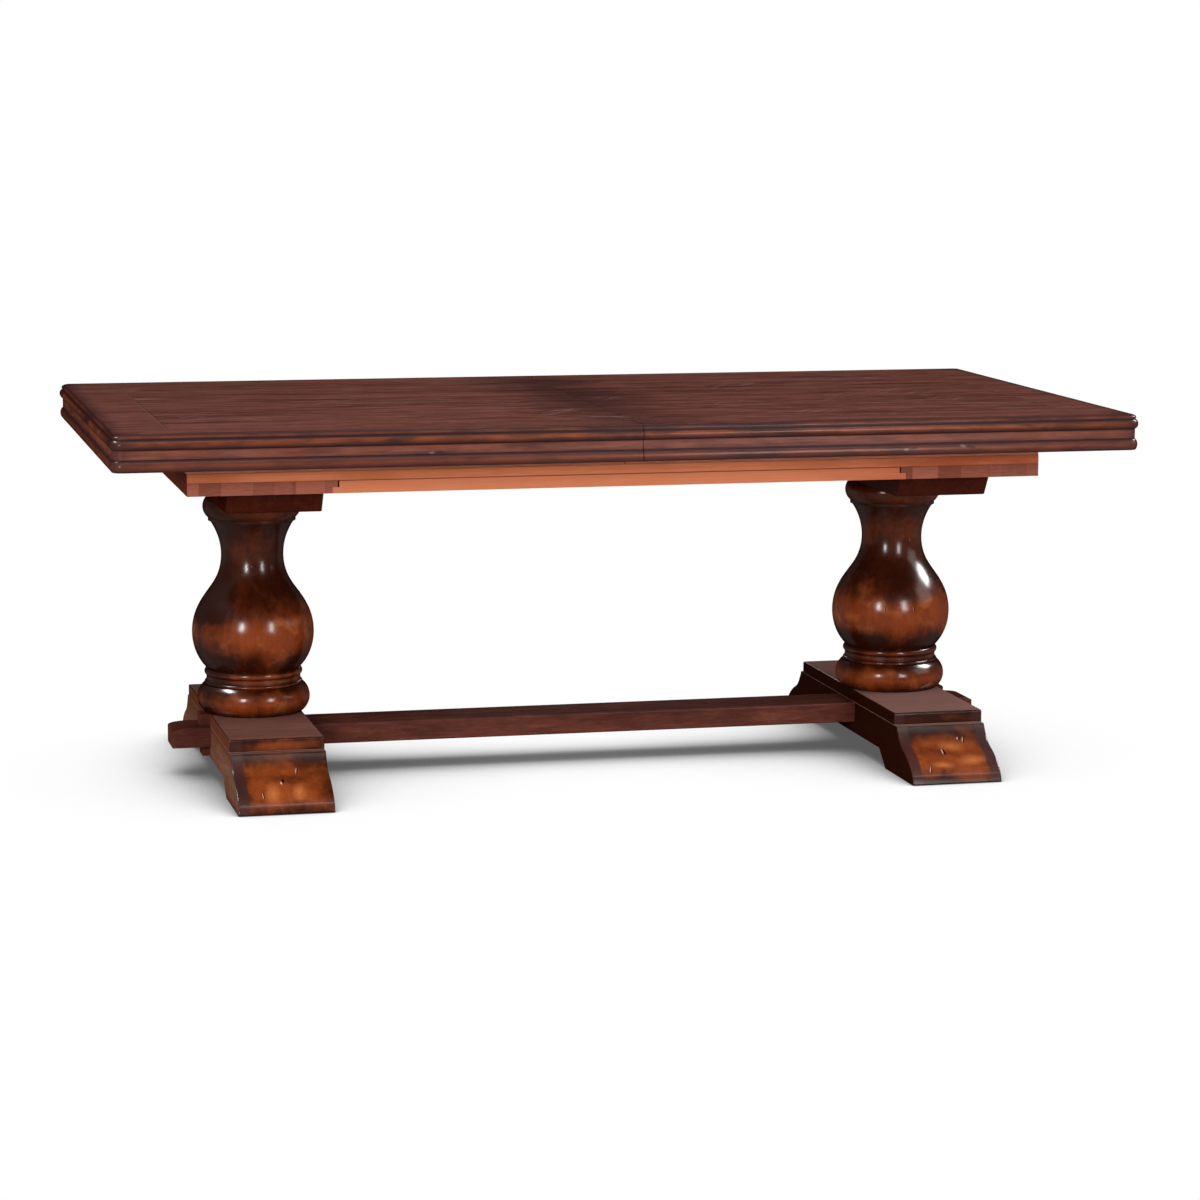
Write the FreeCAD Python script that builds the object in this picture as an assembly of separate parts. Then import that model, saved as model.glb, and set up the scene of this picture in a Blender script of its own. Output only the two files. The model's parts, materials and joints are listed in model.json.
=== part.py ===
"""Double pedestal extension table in stained wood.

Two turned baluster pedestals stand on ogee feet that a keyed stretcher ties
together. They carry a fixed slide frame, and the top is two halves that slide
apart along X on that frame. Millimetres, +X along the table, +Z up, the origin
on the floor under the table's centre. "front" is -Y and "left" is -X.
"""
import FreeCAD
import Part
import math
import os

Vector = FreeCAD.Vector

# Overall sizes
TABLE_HEIGHT = 762.0
TOP_LENGTH = 2068.0
TOP_WIDTH = 1105.0

# Table top: field panel, breadboard end and long edge strips of each half
SEAM_GAP = 1.4
PANEL_THICK = 25.0
EDGE_THICK = 30.0
BREADBOARD_WIDTH = 120.0
EDGE_STRIP_WIDTH = 104.0
TONGUE_LENGTH = 20.0
TONGUE_THICK = 8.0
TONGUE_CLEARANCE = 0.25

# Double moulded rim, measured in from its outermost line and down from the top
CORNER_RADIUS = 24.0
TOP_ROUND_RUN = 14.0
TOP_ROUND_DROP = 6.8
BAND_SETBACK = 4.5
BAND_HEIGHT = 8.0
QUIRK_DEPTH = 1.5
QUIRK_HEIGHT = 2.5
BEAD_START_SETBACK = 5.0
BEAD_CREST_DROP = 19.8
FRIEZE_SETBACK = 6.5
FRIEZE_HEIGHT = 18.5
GROOVE_DEPTH = 1.5
GROOVE_HEIGHT = 1.5
LOWER_BEAD_SETBACK = 5.5
LOWER_BEAD_CREST_SETBACK = 1.0
LOWER_BEAD_HEIGHT = 22.0
LOWER_BEAD_CREST_DROP = 10.0
LOWER_BEAD_FOOT_SETBACK = 4.5
APRON_THICK = 26.0

# Fixed slide frame
END_OVERHANG = 161.5
SIDE_OVERHANG = 153.5
PEDESTAL_INSET = 181.0
PLANK_THICK = 25.0
PLANK_WIDTH = 295.0
LAP_LENGTH = 10.0
LAP_GAP = 3.0
MID_RAIL_WIDTH = 70.0
RAIL_THICK = 36.0
RAIL_HEIGHT = 18.5
END_RAIL_THICK = 22.0

# Slides under each half of the top
SLIDE_TRAVEL = 229.0
STOP_GAP = 4.0
RUNNER_START = 40.0
RUNNER_THICK = 30.0
RUNNER_LIFT = 2.0
SLIDE_CLEARANCE = 0.5
RUNNER_TONGUE_DEPTH = 10.0
RUNNER_TONGUE_HEIGHT = 7.0
RUNNER_TONGUE_LIFT = 5.5
BEARER_HEIGHT = 69.5
BEARER_SETBACK = 2.0
BATTEN_WIDTH = 60.0
BATTEN_THICK = 25.0
BATTEN_INSET = 30.0
BATTEN_SCREW_INSET = 82.5

# Bolster that spreads each column under the frame
BOLSTER_SETBACK = 54.0
BOLSTER_WIDTH = 191.0
BOLSTER_HEIGHT = 46.0
BOLSTER_RAKE = 30.0
BOLSTER_ROUND = 7.0
BOLSTER_ARRIS = 2.0

# Turned column: heights of the mouldings and the radii of its profile
BASE_TORUS_HEIGHT = 58.0
BASE_TORUS_RADIUS = 116.0
BASE_TORUS_CREST = 32.0
BASE_SEAT_RADIUS = 101.0
BASE_TOP_RADIUS = 103.5
FILLET_HEIGHT = 7.0
FILLET_RADIUS = 101.0
FILLET_FOOT_RADIUS = 97.5
COLLAR_HEIGHT = 11.0
COLLAR_RADIUS = 96.5
RING_HEIGHT = 15.0
RING_RADIUS = 101.0
BELLY_FOOT_RADIUS = 96.0
BELLY_RADIUS = 125.5
NECK_RADIUS = 64.0
FLARE_RADIUS = 87.0
CAP_FILLET_HEIGHT = 6.0
CAP_FILLET_RADIUS = 90.0
CAP_TORUS_HEIGHT = 47.0
CAP_TORUS_RADIUS = 101.0
CAP_SEAT_RADIUS = 88.0
SPIGOT_RADIUS = 30.0
TOP_SPIGOT_LENGTH = 30.0
FOOT_SPIGOT_LENGTH = 16.0

# Ogee foot
FOOT_LENGTH = 914.0
FOOT_WIDTH = 191.0
FOOT_HEIGHT = 127.5
OGEE_RUN = 112.0
PLATFORM_DEPTH = 25.0
PLATFORM_ROUND = 5.0
LEDGE_WIDTH = 18.0
LEDGE_ROUND = 4.0
FOOT_ARRIS = 2.5
TOE_UNDERCUT = 3.0
TOE_LIFT = 3.0
ARCH_HEIGHT = 36.0
PAD_LENGTH = 184.0
ARCH_SLOPE_LENGTH = 44.0

# Keyed stretcher
STRETCHER_WIDTH = 116.0
STRETCHER_HEIGHT = 42.5
STRETCHER_LIFT = 59.5
STRETCHER_ARRIS = 3.0
TENON_WIDTH = 90.0
TENON_HEIGHT = 41.5
TENON_RISE = 0.5
TENON_LENGTH = 79.0
TENON_ROUND = 4.0
TENON_NOSE_RUN = 36.0
TENON_NOSE_DROP = 8.0
WEDGE_TOP_THICK = 20.0
WEDGE_FOOT_THICK = 15.0
WEDGE_WIDTH = 45.0
WEDGE_TOP_DROP = 2.0
WEDGE_FOOT_LIFT = 38.0
WEDGE_ROUND = 5.0
DRAW_GAP = 4.0

# Fasteners
FOOT_BOLT_RADIUS = 5.0
FOOT_BOLT_BITE = 80.0
FOOT_BOLT_HEAD_RADIUS = 10.0
FOOT_BOLT_HEAD_HEIGHT = 8.0
BOLSTER_BOLT_RADIUS = 4.0
BOLSTER_BOLT_BITE = 55.0
BOLSTER_BOLT_HEAD_RADIUS = 8.0
BOLSTER_BOLT_HEAD_HEIGHT = 6.0
SCREW_RADIUS = 2.5
SCREW_HEAD_RADIUS = 5.0
SCREW_HEAD_HEIGHT = 4.0
SCREW_BITE = 13.0
RAIL_SCREW_INSET = 12.5
RAIL_SCREW_END = 59.0
PLANK_SCREW_BITE = 28.0
PLANK_SCREW_X = 57.0
PLANK_SCREW_INSET = 117.0
RUNNER_SCREW_COUNT = 3
RUNNER_SCREW_RECESS = 40.0

# Table locks and alignment pins at the seam
PIN_RADIUS = 5.0
PIN_CLEARANCE = 0.3
PIN_END_GAP = 1.0
PIN_REACH = 18.0
PIN_INSET = 108.5
LOCK_SPACING = 400.0
LOCK_REACH = 50.0
LOCK_PLATE_THICK = 3.0
LOCK_PLATE_SIZE = 40.0
LOCK_CLEARANCE = 0.4
LEVER_THICK = 3.0
LEVER_WIDTH = 22.0
LEVER_TAIL = 14.0
STUD_RADIUS = 4.0
STUD_HEAD_RADIUS = 7.0
STUD_HEAD_HEIGHT = 2.0

# Working margins: reach of a cutting block past a face, and the flatness of an edge
CUT_MARGIN = 1.0
FLATNESS = 0.001

# Places that follow from the sizes above
PANEL_Z = TABLE_HEIGHT - PANEL_THICK
EDGE_Z = TABLE_HEIGHT - EDGE_THICK
APRON_HEIGHT = FRIEZE_HEIGHT + GROOVE_HEIGHT + LOWER_BEAD_HEIGHT
APRON_Z = EDGE_Z - APRON_HEIGHT
RAIL_TOP_Z = PANEL_Z - BEARER_HEIGHT
PLANK_TOP_Z = RAIL_TOP_Z - RAIL_HEIGHT
FRAME_Z = PLANK_TOP_Z - PLANK_THICK
COLUMN_TOP_Z = FRAME_Z - BOLSTER_HEIGHT
HALF_LENGTH = TOP_LENGTH / 2
HALF_WIDTH = TOP_WIDTH / 2
FRAME_X = HALF_LENGTH - END_OVERHANG
FRAME_Y = HALF_WIDTH - SIDE_OVERHANG
PEDESTAL_X = FRAME_X - PEDESTAL_INSET
SEAM_X = SEAM_GAP / 2
FIELD_X = HALF_LENGTH - BREADBOARD_WIDTH
FIELD_Y = HALF_WIDTH - EDGE_STRIP_WIDTH
RAIL_INNER_Y = FRAME_Y - RAIL_THICK
RUNNER_Y = RAIL_INNER_Y - SLIDE_CLEARANCE
RUNNER_INNER_Y = RUNNER_Y - RUNNER_THICK
RUNNER_Z = PLANK_TOP_Z + RUNNER_LIFT
RUNNER_TONGUE_Z = PLANK_TOP_Z + RUNNER_TONGUE_LIFT
END_RAIL_INNER_X = FRAME_X - END_RAIL_THICK
RUNNER_END = END_RAIL_INNER_X - STOP_GAP - SLIDE_TRAVEL
PLANK_INNER_X = FRAME_X - PLANK_WIDTH
TENON_Z = STRETCHER_LIFT + TENON_RISE
FOOT_INNER_X = PEDESTAL_X - FOOT_WIDTH / 2
FOOT_OUTER_X = PEDESTAL_X + FOOT_WIDTH / 2
FOOT_BOLT_Y = (TENON_WIDTH / 2 + BASE_SEAT_RADIUS) / 2
BOLSTER_BOLT_OFFSET = (SPIGOT_RADIUS + CAP_SEAT_RADIUS) / 2 / math.sqrt(2)
PIN_Z = TABLE_HEIGHT - PANEL_THICK / 2
LOCK_PLATE_Z = PANEL_Z - LOCK_PLATE_THICK
LEVER_Z = LOCK_PLATE_Z - LOCK_CLEARANCE - LEVER_THICK
STUD_Z = LEVER_Z - LOCK_CLEARANCE - STUD_HEAD_HEIGHT

SIDES = {"left": -1, "right": 1}
FACES = {"front": -1, "back": 1}


def block(x0, x1, y0, y1, z0, z1):
    """Box between two corners, given in any order."""
    low = Vector(min(x0, x1), min(y0, y1), min(z0, z1))
    return Part.makeBox(abs(x1 - x0), abs(y1 - y0), abs(z1 - z0), low)


def rod(radius, x, y, z0, z1):
    """Upright cylinder between two heights."""
    return Part.makeCylinder(radius, abs(z1 - z0), Vector(x, y, min(z0, z1)))


def line(start, end):
    return Part.LineSegment(start, end).toShape()


def arc(start, middle, end):
    return Part.Arc(start, middle, end).toShape()


def quarter_ellipse(major_end, minor_end, centre):
    """Quarter of an ellipse between the ends of its half axes, the longer one first."""
    return Part.ArcOfEllipse(Part.Ellipse(major_end, minor_end, centre), 0.0, math.pi / 2).toShape()


def curve(points):
    """Smooth curve through a few points."""
    spline = Part.BSplineCurve()
    spline.interpolate(points)
    return spline.toShape()


def face_of(edges):
    return Part.Face(Part.Wire(Part.__sortEdges__(edges)))


def quarter_turn(radius):
    """Distance from a square corner to the middle of its round, along either side."""
    return radius * (1 - math.sqrt(0.5))


def in_side_plane(edge):
    """True for an edge that lies in a plane square to X."""
    return edge.BoundBox.XLength < FLATNESS


def headed_rod(radius, head_radius, head_height, x, y, head_z, tip_z):
    """Bolt or screw with a round head that starts at head_z and points to tip_z."""
    way = 1 if tip_z > head_z else -1
    neck_z = head_z + way * head_height
    head = rod(head_radius, x, y, head_z, neck_z)
    return head.fuse(rod(radius, x, y, neck_z, tip_z)).removeSplitter()


def screw(x, y, head_z, tip_z):
    return headed_rod(SCREW_RADIUS, SCREW_HEAD_RADIUS, SCREW_HEAD_HEIGHT, x, y, head_z, tip_z)


# Moulded rim

def rim_solid(rim_face, low_z, high_z):
    """Slab whose four sides carry the profile, with turned corners."""
    core_x = HALF_LENGTH - CORNER_RADIUS
    core_y = HALF_WIDTH - CORNER_RADIUS
    core = block(-core_x, core_x, -core_y, core_y, low_z, high_z)
    up = Vector(0, 0, 1)
    quarter = rim_face.revolve(Vector(0, 0, 0), up, 90)
    pieces = []
    for turn, (along, x, y) in enumerate((
            (2 * core_y, core_x, -core_y),
            (2 * core_x, core_x, core_y),
            (2 * core_y, -core_x, core_y),
            (2 * core_x, -core_x, -core_y))):
        side = rim_face.extrude(Vector(0, along, 0))
        side.rotate(Vector(0, 0, 0), up, 90 * turn)
        side.translate(Vector(x, y, 0))
        corner = quarter.copy()
        corner.rotate(Vector(0, 0, 0), up, 90 * turn)
        corner_x = core_x if turn in (0, 3) else -core_x
        corner_y = core_y if turn in (0, 1) else -core_y
        corner.translate(Vector(corner_x, corner_y, 0))
        pieces += [side, corner]
    return core.multiFuse(pieces).removeSplitter()


def rim_point(setback, z):
    """Profile point at a setback from the rim's outermost line."""
    return Vector(CORNER_RADIUS - setback, 0, z)


def top_rim_face():
    """Rounded band, quirk and large bead on the edge of the top."""
    top = TABLE_HEIGHT
    quirk_setback = BAND_SETBACK + QUIRK_DEPTH
    quirk_z = top - BAND_HEIGHT
    bead_z = quirk_z - QUIRK_HEIGHT
    inner_top = Vector(0, 0, top)
    inner_low = Vector(0, 0, EDGE_Z)
    round_start = rim_point(BAND_SETBACK + TOP_ROUND_RUN, top)
    round_end = rim_point(BAND_SETBACK, top - TOP_ROUND_DROP)
    round_centre = rim_point(BAND_SETBACK + TOP_ROUND_RUN, top - TOP_ROUND_DROP)
    band_end = rim_point(BAND_SETBACK, quirk_z)
    quirk_top = rim_point(quirk_setback, quirk_z)
    quirk_low = rim_point(quirk_setback, bead_z)
    bead_start = rim_point(BEAD_START_SETBACK, bead_z)
    bead_crest = rim_point(0, top - BEAD_CREST_DROP)
    bead_end = rim_point(FRIEZE_SETBACK, EDGE_Z)
    return face_of([
        line(inner_low, inner_top),
        line(inner_top, round_start),
        quarter_ellipse(round_end, round_start, round_centre),
        line(round_end, band_end),
        line(band_end, quirk_top),
        line(quirk_top, quirk_low),
        line(quirk_low, bead_start),
        arc(bead_start, bead_crest, bead_end),
        line(bead_end, inner_low)])


def apron_rim_face():
    """Flat frieze, fine groove and lower bead of the apron."""
    groove_z = EDGE_Z - FRIEZE_HEIGHT
    bead_z = groove_z - GROOVE_HEIGHT
    inner_top = Vector(0, 0, EDGE_Z)
    inner_low = Vector(0, 0, APRON_Z)
    frieze_top = rim_point(FRIEZE_SETBACK, EDGE_Z)
    frieze_low = rim_point(FRIEZE_SETBACK, groove_z)
    groove_top = rim_point(FRIEZE_SETBACK + GROOVE_DEPTH, groove_z)
    groove_low = rim_point(FRIEZE_SETBACK + GROOVE_DEPTH, bead_z)
    bead_start = rim_point(LOWER_BEAD_SETBACK, bead_z)
    bead_crest = rim_point(LOWER_BEAD_CREST_SETBACK, bead_z - LOWER_BEAD_CREST_DROP)
    bead_end = rim_point(LOWER_BEAD_FOOT_SETBACK, APRON_Z)
    return face_of([
        line(inner_low, inner_top),
        line(inner_top, frieze_top),
        line(frieze_top, frieze_low),
        line(frieze_low, groove_top),
        line(groove_top, groove_low),
        line(groove_low, bead_start),
        arc(bead_start, bead_crest, bead_end),
        line(bead_end, inner_low)])


# Table top halves

def pin_places():
    outer = FIELD_Y - PIN_INSET
    return [-outer, 0.0, outer]


def alignment_pin(y):
    """Dowel glued into the right half, pointing into the left half."""
    return Part.makeCylinder(PIN_RADIUS, 2 * PIN_REACH + SEAM_GAP,
                             Vector(-SEAM_X - PIN_REACH, y, PIN_Z), Vector(1, 0, 0))


def pin_socket(side, y):
    """Hole for a pin: tight in the right half, free in the left half."""
    radius = PIN_RADIUS if side > 0 else PIN_RADIUS + PIN_CLEARANCE
    depth = PIN_REACH if side > 0 else PIN_REACH + PIN_END_GAP
    return Part.makeCylinder(radius, depth, Vector(side * SEAM_X, y, PIN_Z), Vector(side, 0, 0))


def breadboard_tongue(side, clearance):
    """Tongue on the field's end, or the groove for it with a clearance."""
    middle = (PANEL_Z + TABLE_HEIGHT) / 2
    half = TONGUE_THICK / 2 + clearance
    end = FIELD_X + TONGUE_LENGTH + 2 * clearance
    return block(side * FIELD_X, side * end, -FIELD_Y, FIELD_Y, middle - half, middle + half)


def top_panel(side):
    field = block(side * SEAM_X, side * FIELD_X, -FIELD_Y, FIELD_Y, PANEL_Z, TABLE_HEIGHT)
    field = field.fuse(breadboard_tongue(side, 0.0)).removeSplitter()
    sockets = [pin_socket(side, y) for y in pin_places()]
    return field.cut(Part.makeCompound(sockets + half_screws(side)))


def breadboard(side, top_slab):
    reach = HALF_LENGTH + CUT_MARGIN
    board = top_slab.common(block(side * FIELD_X, side * reach, -FIELD_Y, FIELD_Y, EDGE_Z, TABLE_HEIGHT))
    return board.cut(breadboard_tongue(side, TONGUE_CLEARANCE))


def edge_strip(side, face, top_slab):
    reach_x = HALF_LENGTH + CUT_MARGIN
    reach_y = HALF_WIDTH + CUT_MARGIN
    return top_slab.common(block(side * SEAM_X, side * reach_x, face * FIELD_Y, face * reach_y,
                                 EDGE_Z, TABLE_HEIGHT))


def mitre_prism(side):
    """Region of the end apron: inside the 45 degree mitres of both corners."""
    outer = side * (HALF_LENGTH + CUT_MARGIN)
    reach = HALF_WIDTH + CUT_MARGIN
    corners = [Vector(outer, -reach, APRON_Z), Vector(outer, reach, APRON_Z),
               Vector(outer - side * reach, 0, APRON_Z)]
    outline = Part.makePolygon(corners + corners[:1])
    return Part.Face(outline).extrude(Vector(0, 0, APRON_HEIGHT))


def apron_ring():
    inner_x = HALF_LENGTH - FRIEZE_SETBACK - APRON_THICK
    inner_y = HALF_WIDTH - FRIEZE_SETBACK - APRON_THICK
    slab = rim_solid(apron_rim_face(), APRON_Z, EDGE_Z)
    return slab.cut(block(-inner_x, inner_x, -inner_y, inner_y, APRON_Z, EDGE_Z))


def end_apron(side, ring):
    return ring.common(mitre_prism(side))


def long_apron(side, face, ring):
    half = block(side * SEAM_X, side * (HALF_LENGTH + CUT_MARGIN), 0, face * (HALF_WIDTH + CUT_MARGIN),
                 APRON_Z, EDGE_Z)
    return ring.common(half).cut(mitre_prism(side))


# Slides under the top

def bearer(side, face):
    """Strip under the top that rests on the frame's side rail."""
    outer_y = FRAME_Y - BEARER_SETBACK
    return block(side * SEAM_X, side * FRAME_X, face * RUNNER_Y, face * outer_y, RAIL_TOP_Z, PANEL_Z)


def runner(side, face):
    """Board under the top with a tongue in the side rail's groove."""
    body = block(side * RUNNER_START, side * RUNNER_END, face * RUNNER_INNER_Y, face * RUNNER_Y,
                 RUNNER_Z, PANEL_Z)
    tongue = block(side * RUNNER_START, side * RUNNER_END,
                   face * RUNNER_Y, face * (RUNNER_Y + RUNNER_TONGUE_DEPTH),
                   RUNNER_TONGUE_Z, RUNNER_TONGUE_Z + RUNNER_TONGUE_HEIGHT)
    return body.fuse(tongue).removeSplitter().cut(Part.makeCompound(runner_screw_bores(side, face)))


def runner_screw_places():
    step = (RUNNER_END - RUNNER_START) / RUNNER_SCREW_COUNT
    return [RUNNER_START + step * (index + 0.5) for index in range(RUNNER_SCREW_COUNT)]


def runner_screws(side):
    head_z = RUNNER_Z + RUNNER_SCREW_RECESS
    y = RUNNER_Y - RUNNER_THICK / 2
    return [screw(side * x, face * y, head_z, PANEL_Z + SCREW_BITE)
            for face in FACES.values() for x in runner_screw_places()]


def runner_screw_bores(side, face):
    """Screw hole with the deep recess that lets the head in from below."""
    y = face * (RUNNER_Y - RUNNER_THICK / 2)
    head_z = RUNNER_Z + RUNNER_SCREW_RECESS
    bores = []
    for x in runner_screw_places():
        bores.append(screw(side * x, y, head_z, PANEL_Z))
        bores.append(rod(SCREW_HEAD_RADIUS, side * x, y, RUNNER_Z, head_z))
    return bores


def batten_places():
    """Inner edges of the two cross battens of a half."""
    return {"inner": RUNNER_START + BATTEN_INSET, "outer": RUNNER_END + BATTEN_INSET}


def batten_screws(side):
    y = RUNNER_INNER_Y - BATTEN_SCREW_INSET
    return [screw(side * (start + BATTEN_WIDTH / 2), place, PANEL_Z - BATTEN_THICK, PANEL_Z + SCREW_BITE)
            for start in batten_places().values() for place in (-y, 0.0, y)]


def batten(side, start):
    """Cross batten that keeps the field flat."""
    bar = block(side * start, side * (start + BATTEN_WIDTH), -RUNNER_INNER_Y, RUNNER_INNER_Y,
                PANEL_Z - BATTEN_THICK, PANEL_Z)
    return bar.cut(Part.makeCompound(batten_screws(side)))


def half_screws(side):
    return runner_screws(side) + batten_screws(side)


# Table locks at the seam

def lock_plate(face):
    """Plate on the left half with the headed rivet that the lever turns on."""
    x = -LOCK_REACH / 2
    y = face * LOCK_SPACING / 2
    half = LOCK_PLATE_SIZE / 2
    plate = block(x - half, -SEAM_X, y - half, y + half, LOCK_PLATE_Z, PANEL_Z)
    return plate.fuse(headed_stud(x, y)).removeSplitter()


def lock_keeper(face):
    """Plate on the right half with the headed stud that the lever hooks."""
    x = LOCK_REACH / 2
    y = face * LOCK_SPACING / 2
    half = LOCK_PLATE_SIZE / 2
    plate = block(SEAM_X, x + half, y - half, y + half, LOCK_PLATE_Z, PANEL_Z)
    return plate.fuse(headed_stud(x, y)).removeSplitter()


def headed_stud(x, y):
    shank = rod(STUD_RADIUS, x, y, STUD_Z, LOCK_PLATE_Z)
    head = rod(STUD_HEAD_RADIUS, x, y, STUD_Z, STUD_Z + STUD_HEAD_HEIGHT)
    return shank.fuse(head)


def lock_lever(face):
    """Hooked lever, shown unlocked: it points along the seam, away from the middle."""
    half = LEVER_WIDTH / 2
    free = STUD_RADIUS + LOCK_CLEARANCE
    reach = LOCK_REACH + LEVER_TAIL
    arm = block(0, reach, -half, half, LEVER_Z, LEVER_Z + LEVER_THICK)
    eye = rod(half, 0, 0, LEVER_Z, LEVER_Z + LEVER_THICK)
    arm = arm.fuse(eye).removeSplitter()
    arm = arm.cut(rod(free, 0, 0, LEVER_Z, LEVER_Z + LEVER_THICK))
    hook = rod(LOCK_REACH + free, 0, 0, LEVER_Z, LEVER_Z + LEVER_THICK)
    hook = hook.cut(rod(LOCK_REACH - free, 0, 0, LEVER_Z, LEVER_Z + LEVER_THICK))
    hook = hook.common(block(0, reach, -reach, 0, LEVER_Z, LEVER_Z + LEVER_THICK))
    arm = arm.cut(hook)
    arm = arm.cut(rod(free, LOCK_REACH, 0, LEVER_Z, LEVER_Z + LEVER_THICK))
    arm.rotate(Vector(0, 0, 0), Vector(0, 0, 1), 90)
    if face < 0:
        arm = arm.mirror(Vector(0, 0, 0), Vector(0, 1, 0))
    arm.translate(Vector(-LOCK_REACH / 2, face * LOCK_SPACING / 2, 0))
    return arm


# Fixed slide frame

def side_rail(face):
    """Rail with a stopped groove on its inner face for the runners' tongues."""
    rail = block(-FRAME_X, FRAME_X, face * RAIL_INNER_Y, face * FRAME_Y, PLANK_TOP_Z, RAIL_TOP_Z)
    depth = RUNNER_TONGUE_DEPTH + SLIDE_CLEARANCE
    low = RUNNER_TONGUE_Z - SLIDE_CLEARANCE
    high = RUNNER_TONGUE_Z + RUNNER_TONGUE_HEIGHT + SLIDE_CLEARANCE
    groove = block(-END_RAIL_INNER_X, END_RAIL_INNER_X, face * RAIL_INNER_Y, face * (RAIL_INNER_Y + depth),
                   low, high)
    return rail.cut(groove).cut(Part.makeCompound(rail_screws()))


def end_rail(side):
    """Rail across the frame's end, which stops the runners."""
    return block(side * END_RAIL_INNER_X, side * FRAME_X, -RAIL_INNER_Y, RAIL_INNER_Y,
                 PLANK_TOP_Z, RAIL_TOP_Z)


def cross_plank(side):
    """Wide board over the bolster, with an upper tongue that laps the mid rails."""
    lap_z = PLANK_TOP_Z - PLANK_THICK / 2
    lower = block(side * (PLANK_INNER_X + LAP_LENGTH), side * FRAME_X, -FRAME_Y, FRAME_Y, FRAME_Z, lap_z)
    upper = block(side * PLANK_INNER_X, side * FRAME_X, -FRAME_Y, FRAME_Y, lap_z, PLANK_TOP_Z)
    plank = lower.fuse(upper).removeSplitter()
    return plank.cut(Part.makeCompound(plank_screws(side) + rail_screws()))


def mid_rail(face):
    """Filler rail between the cross planks, under a side rail."""
    lap_z = PLANK_TOP_Z - PLANK_THICK / 2
    inner_y = face * (FRAME_Y - MID_RAIL_WIDTH)
    low_x = PLANK_INNER_X + LAP_LENGTH
    high_x = PLANK_INNER_X - LAP_GAP
    lower = block(-low_x, low_x, inner_y, face * FRAME_Y, FRAME_Z, lap_z)
    upper = block(-high_x, high_x, inner_y, face * FRAME_Y, lap_z, PLANK_TOP_Z)
    return lower.fuse(upper).removeSplitter()


def rail_screws():
    """Screws from under the cross planks up into the side rails."""
    tip_z = PLANK_TOP_Z + SCREW_BITE
    y = FRAME_Y - RAIL_SCREW_INSET
    first = PLANK_INNER_X + RAIL_SCREW_END
    last = FRAME_X - RAIL_SCREW_END
    places = (first, (first + last) / 2, last)
    return [screw(side * x, face * y, FRAME_Z, tip_z)
            for side in SIDES.values() for face in FACES.values() for x in places]


def plank_screws(side):
    """Screws from the cross plank's top down into the bolster."""
    y = FRAME_Y - BOLSTER_SETBACK - PLANK_SCREW_INSET
    return [screw(side * PEDESTAL_X + dx, dy, PLANK_TOP_Z, FRAME_Z - PLANK_SCREW_BITE)
            for dx in (-PLANK_SCREW_X, PLANK_SCREW_X) for dy in (-y, y)]


# Pedestals

def bolster(side):
    """Block with raked ends that spreads the column under the frame."""
    half = FRAME_Y - BOLSTER_SETBACK
    low = half - BOLSTER_RAKE
    rake = math.atan2(BOLSTER_RAKE, BOLSTER_HEIGHT)
    tangent = BOLSTER_ROUND * math.tan((math.pi / 2 - rake) / 2)
    on_end = Vector(0, low + tangent * math.sin(rake), COLUMN_TOP_Z + tangent * math.cos(rake))
    on_base = Vector(0, low - tangent, COLUMN_TOP_Z)
    centre = Vector(0, low - tangent, COLUMN_TOP_Z + BOLSTER_ROUND)
    middle = (on_end + on_base) * 0.5 - centre
    middle = centre + middle * (BOLSTER_ROUND / middle.Length)
    edges = [line(Vector(0, -half, FRAME_Z), Vector(0, half, FRAME_Z)),
             line(on_base, Vector(0, -on_base.y, COLUMN_TOP_Z))]
    for way in FACES.values():
        flip = [Vector(0, way * point.y, point.z) for point in (on_end, middle, on_base)]
        edges.append(line(Vector(0, way * half, FRAME_Z), flip[0]))
        edges.append(arc(*flip))
    bar = face_of(edges).extrude(Vector(BOLSTER_WIDTH, 0, 0))
    arrises = [edge for edge in bar.Edges
               if in_side_plane(edge) and edge.BoundBox.ZMin < FRAME_Z - CUT_MARGIN]
    bar = bar.makeFillet(BOLSTER_ARRIS, arrises)
    bar.translate(Vector(side * PEDESTAL_X - BOLSTER_WIDTH / 2, 0, 0))
    mortise = rod(SPIGOT_RADIUS, side * PEDESTAL_X, 0, COLUMN_TOP_Z, COLUMN_TOP_Z + TOP_SPIGOT_LENGTH)
    return bar.cut(Part.makeCompound([mortise] + bolster_bolts(side) + plank_screws(side)))


def bolster_bolts(side):
    """Bolts from the bolster's top down into the column's head."""
    return [headed_rod(BOLSTER_BOLT_RADIUS, BOLSTER_BOLT_HEAD_RADIUS, BOLSTER_BOLT_HEAD_HEIGHT,
                       side * PEDESTAL_X + dx * BOLSTER_BOLT_OFFSET, dy * BOLSTER_BOLT_OFFSET,
                       FRAME_Z, COLUMN_TOP_Z - BOLSTER_BOLT_BITE)
            for dx in (-1, 1) for dy in (-1, 1)]


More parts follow.
